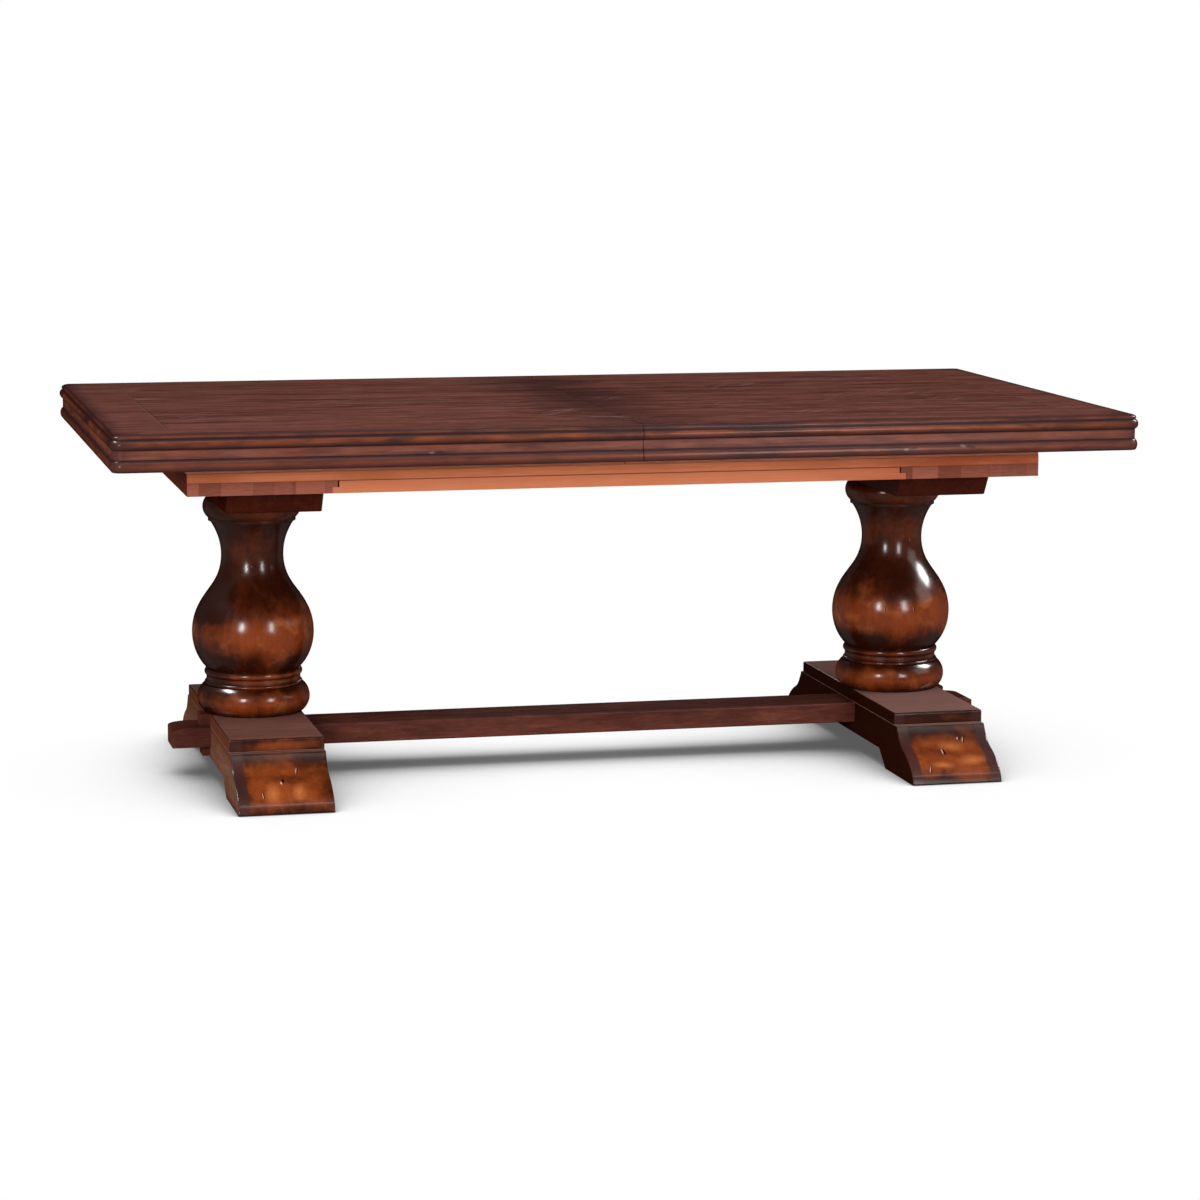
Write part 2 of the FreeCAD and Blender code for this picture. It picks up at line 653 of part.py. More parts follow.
def column_profile():
    """Half section of the turned column, from its lower to its upper spigot."""
    def at(radius, z):
        return Vector(radius, 0, z)

    base_z = FOOT_HEIGHT
    torus_z = base_z + BASE_TORUS_HEIGHT
    fillet_z = torus_z + FILLET_HEIGHT
    collar_z = fillet_z + COLLAR_HEIGHT
    belly_z = collar_z + RING_HEIGHT
    cap_z = COLUMN_TOP_Z - CAP_TORUS_HEIGHT
    flare_z = cap_z - CAP_FILLET_HEIGHT
    vase = flare_z - belly_z
    swell = BELLY_RADIUS - NECK_RADIUS
    low = base_z - FOOT_SPIGOT_LENGTH
    high = COLUMN_TOP_Z + TOP_SPIGOT_LENGTH
    vase_points = [
        at(BELLY_FOOT_RADIUS, belly_z),
        at((BELLY_FOOT_RADIUS + 2.6 * BELLY_RADIUS) / 3.6, belly_z + 0.105 * vase),
        at(BELLY_RADIUS, belly_z + 0.25 * vase),
        at(NECK_RADIUS + 0.86 * swell, belly_z + 0.39 * vase),
        at(NECK_RADIUS + 0.55 * swell, belly_z + 0.5 * vase),
        at(NECK_RADIUS + 0.19 * swell, belly_z + 0.607 * vase),
        at(NECK_RADIUS, belly_z + 0.765 * vase),
        at((2 * NECK_RADIUS + FLARE_RADIUS) / 3, belly_z + 0.905 * vase),
        at(FLARE_RADIUS, flare_z)]
    ring_turn = (belly_z + collar_z) / 2
    return face_of([
        line(at(0, low), at(SPIGOT_RADIUS, low)),
        line(at(SPIGOT_RADIUS, low), at(SPIGOT_RADIUS, base_z)),
        line(at(SPIGOT_RADIUS, base_z), at(BASE_SEAT_RADIUS, base_z)),
        arc(at(BASE_SEAT_RADIUS, base_z), at(BASE_TORUS_RADIUS, base_z + BASE_TORUS_CREST),
            at(BASE_TOP_RADIUS, torus_z)),
        line(at(BASE_TOP_RADIUS, torus_z), at(FILLET_FOOT_RADIUS, torus_z)),
        arc(at(FILLET_FOOT_RADIUS, torus_z), at(FILLET_RADIUS, (torus_z + fillet_z) / 2),
            at(FILLET_FOOT_RADIUS, fillet_z)),
        line(at(FILLET_FOOT_RADIUS, fillet_z), at(COLLAR_RADIUS, collar_z)),
        arc(at(COLLAR_RADIUS, collar_z), at(RING_RADIUS, ring_turn), at(BELLY_FOOT_RADIUS, belly_z)),
        curve(vase_points),
        line(at(FLARE_RADIUS, flare_z), at(CAP_FILLET_RADIUS, flare_z)),
        line(at(CAP_FILLET_RADIUS, flare_z), at(CAP_FILLET_RADIUS, cap_z)),
        arc(at(CAP_FILLET_RADIUS, cap_z), at(CAP_TORUS_RADIUS, cap_z + CAP_TORUS_HEIGHT / 2),
            at(CAP_SEAT_RADIUS, COLUMN_TOP_Z)),
        line(at(CAP_SEAT_RADIUS, COLUMN_TOP_Z), at(SPIGOT_RADIUS, COLUMN_TOP_Z)),
        line(at(SPIGOT_RADIUS, COLUMN_TOP_Z), at(SPIGOT_RADIUS, high)),
        line(at(SPIGOT_RADIUS, high), at(0, high)),
        line(at(0, high), at(0, low))])


def column(side):
    turning = column_profile().revolve(Vector(0, 0, 0), Vector(0, 0, 1), 360)
    turning.translate(Vector(side * PEDESTAL_X, 0, 0))
    return turning.cut(Part.makeCompound(bolster_bolts(side) + foot_bolts(side)))


def foot_bolts(side):
    """Bolts from the foot's arch up into the column, either side of the tenon."""
    head_z = ARCH_HEIGHT + FOOT_BOLT_HEAD_HEIGHT / 2
    return [headed_rod(FOOT_BOLT_RADIUS, FOOT_BOLT_HEAD_RADIUS, FOOT_BOLT_HEAD_HEIGHT,
                       side * PEDESTAL_X, face * FOOT_BOLT_Y, head_z, FOOT_HEIGHT + FOOT_BOLT_BITE)
            for face in FACES.values()]


def foot_outline():
    """Side outline of the foot: platform, ledge, ogee, toe, pads and arch."""
    toe = FOOT_LENGTH / 2
    ledge = toe - OGEE_RUN
    platform = ledge - LEDGE_WIDTH
    ledge_z = FOOT_HEIGHT - PLATFORM_DEPTH
    turn = quarter_turn(LEDGE_ROUND)
    top_turn = quarter_turn(PLATFORM_ROUND)
    top_edge = platform - PLATFORM_ROUND
    shoulder_z = ledge_z - LEDGE_ROUND
    pad = toe - PAD_LENGTH
    arch = pad - ARCH_SLOPE_LENGTH
    edges = [line(Vector(0, -top_edge, FOOT_HEIGHT), Vector(0, top_edge, FOOT_HEIGHT)),
             line(Vector(0, -arch, ARCH_HEIGHT), Vector(0, arch, ARCH_HEIGHT))]
    for way in FACES.values():
        def at(y, z):
            return Vector(0, way * y, z)

        edges += [
            arc(at(top_edge, FOOT_HEIGHT), at(platform - top_turn, FOOT_HEIGHT - top_turn),
                at(platform, FOOT_HEIGHT - PLATFORM_ROUND)),
            line(at(platform, FOOT_HEIGHT - PLATFORM_ROUND), at(platform, ledge_z)),
            line(at(platform, ledge_z), at(ledge - LEDGE_ROUND, ledge_z)),
            arc(at(ledge - LEDGE_ROUND, ledge_z), at(ledge - turn, ledge_z - turn), at(ledge, shoulder_z)),
            curve([at(ledge, shoulder_z), at(ledge + 0.09 * OGEE_RUN, 0.86 * shoulder_z),
                   at(ledge + 0.22 * OGEE_RUN, 0.71 * shoulder_z),
                   at(ledge + 0.5 * OGEE_RUN, 0.56 * shoulder_z),
                   at(ledge + 0.8 * OGEE_RUN, 0.35 * shoulder_z),
                   at(ledge + 0.95 * OGEE_RUN, 0.17 * shoulder_z), at(toe, TOE_LIFT)]),
            line(at(toe, TOE_LIFT), at(toe - TOE_UNDERCUT, 0)),
            line(at(toe - TOE_UNDERCUT, 0), at(pad, 0)),
            line(at(pad, 0), at(arch, ARCH_HEIGHT))]
    return face_of(edges)


def foot(side):
    body = foot_outline().extrude(Vector(FOOT_WIDTH, 0, 0))
    arrises = [edge for edge in body.Edges
               if in_side_plane(edge) and edge.BoundBox.ZMax > ARCH_HEIGHT + CUT_MARGIN]
    body = body.makeFillet(FOOT_ARRIS, arrises)
    body.translate(Vector(side * PEDESTAL_X - FOOT_WIDTH / 2, 0, 0))
    mortise = block(side * (FOOT_INNER_X - CUT_MARGIN), side * (FOOT_OUTER_X + CUT_MARGIN),
                    -TENON_WIDTH / 2, TENON_WIDTH / 2, TENON_Z, TENON_Z + TENON_HEIGHT)
    socket = rod(SPIGOT_RADIUS, side * PEDESTAL_X, 0, FOOT_HEIGHT - FOOT_SPIGOT_LENGTH, FOOT_HEIGHT)
    recesses = [rod(FOOT_BOLT_HEAD_RADIUS, side * PEDESTAL_X, face * FOOT_BOLT_Y,
                    ARCH_HEIGHT - CUT_MARGIN, ARCH_HEIGHT + FOOT_BOLT_HEAD_HEIGHT)
                for face in FACES.values()]
    return body.cut(Part.makeCompound([mortise, socket] + recesses + foot_bolts(side)))


# Keyed stretcher

def wedge(side):
    """Tapered key through the tenon, tight against the foot's outer side."""
    top_z = FOOT_HEIGHT - WEDGE_TOP_DROP
    top_x = FOOT_OUTER_X + WEDGE_TOP_THICK
    low_x = FOOT_OUTER_X + WEDGE_FOOT_THICK
    half = WEDGE_WIDTH / 2
    turn = quarter_turn(WEDGE_ROUND)
    inner_low = Vector(side * FOOT_OUTER_X, -half, WEDGE_FOOT_LIFT)
    inner_top = Vector(side * FOOT_OUTER_X, -half, top_z)
    round_start = Vector(side * (top_x - WEDGE_ROUND), -half, top_z)
    round_middle = Vector(side * (top_x - turn), -half, top_z - turn)
    round_end = Vector(side * top_x, -half, top_z - WEDGE_ROUND)
    outer_low = Vector(side * low_x, -half, WEDGE_FOOT_LIFT)
    section = face_of([
        line(inner_low, inner_top),
        line(inner_top, round_start),
        arc(round_start, round_middle, round_end),
        line(round_end, outer_low),
        line(outer_low, inner_low)])
    return section.extrude(Vector(0, WEDGE_WIDTH, 0))


def nosed_bar(reach):
    """Bar as wide as the tenons, with its upper edge eased down at each end."""
    front = -TENON_WIDTH / 2
    top_z = TENON_Z + TENON_HEIGHT
    nose_z = top_z - TENON_NOSE_DROP
    flat = reach - TENON_NOSE_RUN
    edges = [line(Vector(-reach, front, TENON_Z), Vector(reach, front, TENON_Z)),
             line(Vector(-flat, front, top_z), Vector(flat, front, top_z))]
    for side in SIDES.values():
        nose = Vector(side * reach, front, nose_z)
        edges += [line(Vector(side * reach, front, TENON_Z), nose),
                  quarter_ellipse(nose, Vector(side * flat, front, top_z), Vector(side * flat, front, nose_z))]
    return face_of(edges).extrude(Vector(0, TENON_WIDTH, 0))


def stretcher():
    """Bar between the feet with a keyed through tenon at each end."""
    bar = block(-FOOT_INNER_X, FOOT_INNER_X, -STRETCHER_WIDTH / 2, STRETCHER_WIDTH / 2,
                STRETCHER_LIFT, STRETCHER_LIFT + STRETCHER_HEIGHT)
    bar = bar.makeFillet(STRETCHER_ARRIS, [edge for edge in bar.Edges if not in_side_plane(edge)])
    reach = FOOT_OUTER_X + TENON_LENGTH
    tenon = block(-reach, reach, -TENON_WIDTH / 2, TENON_WIDTH / 2, TENON_Z, TENON_Z + TENON_HEIGHT)
    uprights = [edge for edge in tenon.Edges if edge.BoundBox.ZLength > TENON_HEIGHT - CUT_MARGIN]
    tenon = tenon.makeFillet(TENON_ROUND, uprights).common(nosed_bar(reach))
    bar = bar.fuse(tenon).removeSplitter()
    slots = []
    for side in SIDES.values():
        draw = block(side * (FOOT_OUTER_X - DRAW_GAP), side * FOOT_OUTER_X,
                     -WEDGE_WIDTH / 2, WEDGE_WIDTH / 2, TENON_Z, TENON_Z + TENON_HEIGHT)
        slots += [draw, wedge(side)]
    return bar.cut(Part.makeCompound(slots))


def make_parts():
    """Every piece of the table by name."""
    top_slab = rim_solid(top_rim_face(), EDGE_Z, TABLE_HEIGHT)
    ring = apron_ring()
    parts = {"stretcher": stretcher()}
    for name, side in SIDES.items():
        parts[name + "_foot"] = foot(side)
        parts[name + "_column"] = column(side)
        parts[name + "_bolster"] = bolster(side)
        parts[name + "_wedge"] = wedge(side)
        parts[name + "_cross_plank"] = cross_plank(side)
        parts[name + "_end_rail"] = end_rail(side)
        parts[name + "_panel"] = top_panel(side)
        parts[name + "_breadboard"] = breadboard(side, top_slab)
        parts[name + "_end_apron"] = end_apron(side, ring)
        for place, start in batten_places().items():
            parts[name + "_" + place + "_batten"] = batten(side, start)
        for face_name, face in FACES.items():
            label = name + "_" + face_name
            parts[label + "_edge"] = edge_strip(side, face, top_slab)
            parts[label + "_apron"] = long_apron(side, face, ring)
            parts[label + "_bearer"] = bearer(side, face)
            parts[label + "_runner"] = runner(side, face)
        parts[name + "_runner_screws"] = Part.makeCompound(runner_screws(side))
        parts[name + "_batten_screws"] = Part.makeCompound(batten_screws(side))
    for face_name, face in FACES.items():
        parts[face_name + "_side_rail"] = side_rail(face)
        parts[face_name + "_mid_rail"] = mid_rail(face)
        parts[face_name + "_lock_lever"] = lock_lever(face)
    both = list(SIDES.values())
    parts["foot_bolts"] = Part.makeCompound([bolt for side in both for bolt in foot_bolts(side)])
    parts["bolster_bolts"] = Part.makeCompound([bolt for side in both for bolt in bolster_bolts(side)])
    parts["plank_screws"] = Part.makeCompound([item for side in both for item in plank_screws(side)])
    parts["rail_screws"] = Part.makeCompound(rail_screws())
    parts["lock_plates"] = Part.makeCompound([lock_plate(face) for face in FACES.values()])
    parts["lock_keepers"] = Part.makeCompound([lock_keeper(face) for face in FACES.values()])
    parts["alignment_pins"] = Part.makeCompound([alignment_pin(y) for y in pin_places()])
    return parts


def main():
    os.makedirs("parts", exist_ok=True)
    for name, shape in make_parts().items():
        if not shape.isValid():
            raise ValueError(name + " is not a valid shape")
        shape.exportStep("parts/" + name + ".step")
        print(name, len(shape.Solids), "solids", round(shape.Volume / 1000), "cm3")


main()
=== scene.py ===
"""Looks of a double pedestal extension table: dark stained wood over its fixed frame.

Every length is in metres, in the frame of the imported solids: +X along the table,
+Z up, the origin on the floor under the closed table.
"""
import json
import math

import bpy
from mathutils import Matrix, Vector

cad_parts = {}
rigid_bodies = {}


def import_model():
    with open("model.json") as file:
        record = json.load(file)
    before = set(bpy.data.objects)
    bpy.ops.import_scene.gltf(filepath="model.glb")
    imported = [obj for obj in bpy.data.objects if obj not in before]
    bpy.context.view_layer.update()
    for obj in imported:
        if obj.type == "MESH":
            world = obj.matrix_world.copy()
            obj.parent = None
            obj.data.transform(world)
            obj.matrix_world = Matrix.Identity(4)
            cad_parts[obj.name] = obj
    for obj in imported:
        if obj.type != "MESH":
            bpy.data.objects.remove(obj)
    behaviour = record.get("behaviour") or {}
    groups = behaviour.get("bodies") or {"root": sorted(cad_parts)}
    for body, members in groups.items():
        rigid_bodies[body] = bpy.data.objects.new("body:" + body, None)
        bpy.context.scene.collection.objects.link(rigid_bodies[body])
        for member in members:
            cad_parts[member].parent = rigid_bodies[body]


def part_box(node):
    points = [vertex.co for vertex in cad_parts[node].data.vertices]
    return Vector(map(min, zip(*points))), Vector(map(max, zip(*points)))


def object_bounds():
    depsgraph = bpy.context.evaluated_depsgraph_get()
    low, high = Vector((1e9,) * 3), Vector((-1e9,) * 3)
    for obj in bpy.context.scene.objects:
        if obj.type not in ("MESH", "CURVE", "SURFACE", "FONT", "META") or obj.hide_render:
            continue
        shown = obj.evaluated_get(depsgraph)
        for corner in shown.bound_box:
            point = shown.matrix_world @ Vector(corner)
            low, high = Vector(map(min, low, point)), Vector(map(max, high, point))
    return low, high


for leftover in list(bpy.data.objects):
    bpy.data.objects.remove(leftover)
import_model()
CAD_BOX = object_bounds()

bl_info = {
    "name": "Pedestal Table Looks",
    "version": (1, 0, 0),
    "blender": (4, 5, 0),
    "location": "View3D > Sidebar > Table",
    "description": "Dresses a double pedestal extension table in dark stained wood",
    "category": "Object",
}

# Places read from the frame
FOOT_LOW, FOOT_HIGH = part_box("right_foot")
COLUMN_LOW, COLUMN_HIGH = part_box("right_column")
BOARD_LOW, BOARD_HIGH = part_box("right_breadboard")
EDGE_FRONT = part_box("right_front_edge")[0].y
PLANK_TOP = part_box("right_cross_plank")[1].z
PEDESTAL_X = (FOOT_LOW.x + FOOT_HIGH.x) / 2
FOOT_HALF_WIDTH = (FOOT_HIGH.x - FOOT_LOW.x) / 2
BOARD_JOINT_X = BOARD_LOW.x
STRIP_JOINT_Y = BOARD_HIGH.y
END_X, SIDE_Y, TOP_Z = CAD_BOX[1]

# Sizes of details that the frame gives no box for
LEDGE_Z = 0.1025
LIP_WIDTH = 0.0055
RIM_DEPTH = 0.072
FOOT_STOPS_TOP = 0.13
ARRIS_RADIUS = 0.0012
GRAIN_DEPTH = 0.0004

# Dents and golden painted highlights on the feet, slits on the columns, knots in the front apron: place, half
# sizes, lean
FOOT_DENTS = (
    ((-0.659, -0.35, 0.069), (0.0016, 0.1, 0.007), -0.3),
    ((-0.691, -0.38, 0.056), (0.0042, 0.1, 0.0034), 0.6),
    ((-0.734, -0.42, 0.035), (0.0015, 0.1, 0.0075), 0.1),
    ((0.725, -0.35, 0.075), (0.0028, 0.1, 0.0034), -0.3),
    ((0.734, -0.35, 0.073), (0.0018, 0.1, 0.0075), -0.35),
    ((0.681, -0.38, 0.056), (0.003, 0.1, 0.0058), -0.1),
    ((0.639, -0.43, 0.028), (0.0014, 0.1, 0.0085), -0.4))
FOOT_PAINTED_HIGHLIGHTS = (
    ((-0.715, -0.43, 0.037), (0.024, 0.2, 0.026), 0.0),
    ((-0.663, -0.43, 0.039), (0.02, 0.2, 0.026), 0.0),
    ((0.735, -0.43, 0.042), (0.05, 0.2, 0.012), 0.06),
    ((0.668, -0.43, 0.036), (0.034, 0.2, 0.009), -0.06),
    ((0.7, -0.39, 0.064), (0.045, 0.2, 0.013), 0.0))
COLUMN_SLITS = (
    ((0.643, -0.102, 0.31), (0.0013, 0.08, 0.0065), 0.0),
    ((0.704, -0.112, 0.312), (0.0015, 0.08, 0.008), 0.05),
    ((0.713, -0.067, 0.451), (0.0009, 0.05, 0.006), 0.0),
    ((-0.7, -0.07, 0.436), (0.0012, 0.05, 0.003), 0.3))
APRON_KNOTS = (
    ((0.551, -0.55, 0.703), (0.011, 0.02, 0.0035), 0.1),
    ((0.672, -0.55, 0.704), (0.013, 0.02, 0.004), -0.15),
    ((-0.403, -0.55, 0.717), (0.012, 0.02, 0.0035), 0.05))

# Share of dark glaze with painted shade on the beads' edges, bead and frieze by the drop below the top
GLAZE_AND_SHADE_STOPS = (
    (0.0, 0.1), (0.0005, 0.65), (0.0018, 0.7), (0.003, 0.4), (0.006, 0.3), (0.0075, 0.65), (0.0085, 1.0),
    (0.0105, 1.0), (0.0115, 0.75), (0.0135, 0.3), (0.0185, 0.05), (0.0215, 0.3), (0.0255, 0.75),
    (0.0298, 1.0), (0.0308, 0.55), (0.033, 0.15), (0.041, 0.1), (0.0465, 0.4), (0.0485, 0.95), (0.0505, 1.0),
    (0.053, 0.7), (0.057, 0.5), (0.061, 0.38), (0.0645, 0.6), (0.0695, 0.88), (RIM_DEPTH, 1.0))
BEAD_STOPS = (
    (0.0, 0.0), (0.0015, 0.0), (0.003, 0.7), (0.007, 0.7), (0.0085, 0.0), (0.0115, 0.0), (0.014, 0.9),
    (0.026, 0.9), (0.0295, 0.0), (0.0505, 0.0), (0.054, 0.9), (0.068, 0.9), (RIM_DEPTH, 0.0))
FRIEZE_STOPS = ((0.0, 0.0), (0.03, 0.0), (0.0315, 1.0), (0.047, 1.0), (0.0485, 0.0), (0.0715, 0.0))

# Share of dark glaze by the height on the columns and on the feet's end faces
COLUMN_STOPS = (
    (0.1275, 0.85), (0.138, 0.45), (0.155, 0.12), (0.171, 0.4), (0.1845, 0.92), (0.188, 0.5), (0.1935, 0.92),
    (0.199, 0.45), (0.2045, 0.85), (0.2105, 0.35), (0.217, 0.92), (0.228, 0.96), (0.248, 0.75), (0.268, 0.3),
    (0.292, 0.02), (0.315, 0.2), (0.34, 0.68), (0.375, 0.88), (0.43, 0.8), (0.475, 0.74), (0.515, 0.88),
    (0.5265, 0.96), (0.532, 0.7), (0.553, 0.5), (0.577, 0.8))
FOOT_STOPS = (
    (0.0, 0.9), (0.006, 0.82), (0.016, 0.62), (0.026, 0.4), (0.036, 0.12), (0.045, 0.05), (0.055, 0.28),
    (0.066, 0.25), (0.076, 0.5), (0.086, 0.75), (0.0965, 0.88), (0.103, 0.95), (0.1045, 0.75), (0.109, 0.62),
    (0.117, 0.6), (0.1225, 0.8), (0.1275, 0.9))

# Fixed colours of worn spots, painted shade and highlights, and small pieces
SCRATCH_PALE = (0.42, 0.31, 0.27, 1.0)
JOINT_PALE = (0.24, 0.15, 0.13, 1.0)
RIM_TINT = (0.6, 0.47, 0.36, 1.0)
WARM_FRIEZE = (0.23, 0.065, 0.034, 1.0)
KNOT_HIGHLIGHT = (0.3, 0.2, 0.19, 1.0)
SLIT_HIGHLIGHT = (0.5, 0.3, 0.2, 1.0)
DENT_HIGHLIGHT = (0.7, 0.56, 0.5, 1.0)
LEDGE_HIGHLIGHT = (0.4, 0.26, 0.22, 1.0)
STRIP_DARK = (0.04, 0.017, 0.016, 1.0)
PLATFORM_DARK = (0.1, 0.04, 0.03, 1.0)
PLATFORM_SHEEN = (0.33, 0.19, 0.165, 1.0)
FLANK_DARK = (0.12, 0.048, 0.03, 1.0)
FLANK_LIGHT = (0.29, 0.13, 0.077, 1.0)
BOLSTER_RED = (0.075, 0.01, 0.004, 1.0)
STRETCHER_DARK = (0.045, 0.013, 0.009, 1.0)
STRETCHER_RED = (0.175, 0.05, 0.033, 1.0)
LOWER_RAIL = (0.46, 0.155, 0.08, 1.0)
LAP_DARK = (0.08, 0.022, 0.012, 1.0)
END_FACE_SHADE = (0.085, 0.021, 0.014, 1.0)
PLATED_STEEL = (0.45, 0.45, 0.46, 1.0)
LOCK_BRASS = (0.55, 0.42, 0.18, 1.0)
WHITE = (1.0, 1.0, 1.0, 1.0)
FLOOR_GREY = (0.5, 0.5, 0.5, 1.0)

# Stage
FLOOR_REACH = 30.0
FLOOR_LEVEL = -0.0002
SOLE_GAP = 0.002
SHADOW_REACH = 0.5
CAMERA_PLACE = (-1.696532, -7.206561, 1.471579)
CAMERA_YAW, CAMERA_PITCH, CAMERA_ROLL = (math.radians(turn) for turn in (13.598, 8.729, 0.238))
SENSOR_WIDTH = 36.0
TABLE_MIDDLE = (0.0, 0.0, 0.45)
# Name, place, aim, width and height, power setting, share of that power
LAMPS = (
    ("front_left_lamp", (-3.1, -4.3, 1.6), TABLE_MIDDLE, (0.55, 1.3), "key_power", 1.3),
    ("front_right_lamp", (1.35, -3.9, 1.3), TABLE_MIDDLE, (0.6, 1.3), "key_power", 0.7),
    ("left_lamp", (-2.9, -1.2, 1.7), TABLE_MIDDLE, (1.5, 1.5), "side_power", 0.8),
    ("right_lamp", (2.9, -1.2, 1.7), TABLE_MIDDLE, (1.5, 1.5), "side_power", 0.8),
    ("left_glint_lamp", (-2.4, 0.1, 2.7), TABLE_MIDDLE, (1.0, 0.45), "side_power", 5.5),
    ("right_glint_lamp", (2.9, 0.1, 2.2), TABLE_MIDDLE, (0.9, 1.0), "side_power", 6.0),
    ("rim_lamp", (0.0, -2.6, 3.3), (0.0, -0.5, 0.74), (4.5, 0.2), "top_power", 0.7),
    ("top_lamp", (0.0, 0.2, 3.2), (0.0, 0.2, 0.0), (3.6, 2.2), "top_power", 0.3),
    ("back_lamp", (1.2, 4.6, 2.0), TABLE_MIDDLE, (1.2, 1.2), "key_power", 0.6))
LACQUER_ONLY = ("left_glint_lamp", "right_glint_lamp")
STAIN_ONLY = ("left_lamp",)

FLOAT, VECTOR, COLOUR = "NodeSocketFloat", "NodeSocketVector", "NodeSocketColor"


# Settings a user would change

def colour_setting(name, description, red, green, blue):
    return bpy.props.FloatVectorProperty(
        name=name, description=description, subtype="COLOR", size=4, min=0.0, max=1.0,
        default=(red, green, blue, 1.0))


def length_setting(name, description, default, least=0.0):
    return bpy.props.FloatProperty(
        name=name, description=description, default=default, min=least, subtype="DISTANCE", unit="LENGTH")


def power_setting(name, description, default):
    return bpy.props.FloatProperty(name=name, description=description, default=default, min=0.0, unit="POWER")


class TopLooks(bpy.types.PropertyGroup):
    """Stain of the table top."""
    stain: colour_setting("Stain", "Red-brown stain of the field", 0.25, 0.093, 0.071)
    streak: colour_setting("Streak", "Dark streaks of the grain", 0.075, 0.027, 0.021)
    # Also the colour of the painted shade on the rim's beads
    burnish_and_shade: colour_setting("Burnish", "Rubbed dark glaze along seams and edges", 0.03, 0.013, 0.014)
    frieze: colour_setting("Frieze", "Mauve brown of the flat between the beads", 0.165, 0.058, 0.042)
    bead: colour_setting("Bead", "Orange brown of the beads", 0.2, 0.047, 0.016)
    board_width: length_setting("Board Width", "Width of the boards glued into the field", 0.0897, 0.02)
    seam_shade: length_setting("Seam Shade", "Reach of the dark glaze beside the seam", 0.105)


class PedestalLooks(bpy.types.PropertyGroup):
    """Stain of the columns, feet and stretcher."""
    amber: colour_setting("Amber", "Rubbed-through amber on the swells", 0.31, 0.067, 0.014)
    # Gold is a rubbed-through tone on the columns and the colour of the painted highlights on the feet
    gold_and_painted_highlight: colour_setting("Gold", "Golden brown where the stain is rubbed most", 0.47, 0.145, 0.04)
    brown: colour_setting("Brown", "Red-brown body of the stain", 0.1, 0.019, 0.005)
    # Also the colour of painted shade on the columns and the feet
    burnish_and_shade: colour_setting("Burnish", "Near black glaze in hollows and on arrises", 0.022, 0.004, 0.0015)
    dull: colour_setting("Dull Top", "Duller brown of the upper faces", 0.26, 0.112, 0.088)
    strip_width: length_setting("Dark Strip", "Width of the dark strips beside a foot's end face", 0.023)


class SlideFrameLooks(bpy.types.PropertyGroup):
    """Thin stain of the slide frame."""
    rail: colour_setting("Rail", "Orange brown of the rails", 0.74, 0.24, 0.112)
    plank: colour_setting("Plank", "Pink brown of the cross planks' ends", 0.245, 0.077, 0.052)
    block_width: length_setting("Block Width", "Width of the blocks glued into a cross plank", 0.047, 0.01)


class StageLooks(bpy.types.PropertyGroup):
    """Studio floor, lamps and camera."""
    key_power: power_setting("Front Lamps", "Power that the front and back lamps take shares of", 110.0)
    side_power: power_setting("Side Lamps", "Power that the side and glint lamps take shares of", 26.0)
    top_power: power_setting("Upper Lamps", "Power that the rim and top lamps take shares of", 60.0)
    ambient: bpy.props.FloatProperty(
        name="Ambient", description="Strength of the even light from all round", default=0.2, min=0.0)
    room: bpy.props.FloatProperty(
        name="Room", description="Brightness of the room as the lacquer mirrors it",
        default=0.15, min=0.0, max=1.0)
    focal_length: bpy.props.FloatProperty(
        name="Focal Length", description="Camera lens in millimetres", default=106.398, min=1.0)


def tint(colour, red, green, blue):
    """Colour with each channel multiplied by a share."""
    return (colour[0] * red, colour[1] * green, colour[2] * blue, 1.0)


# Node helpers

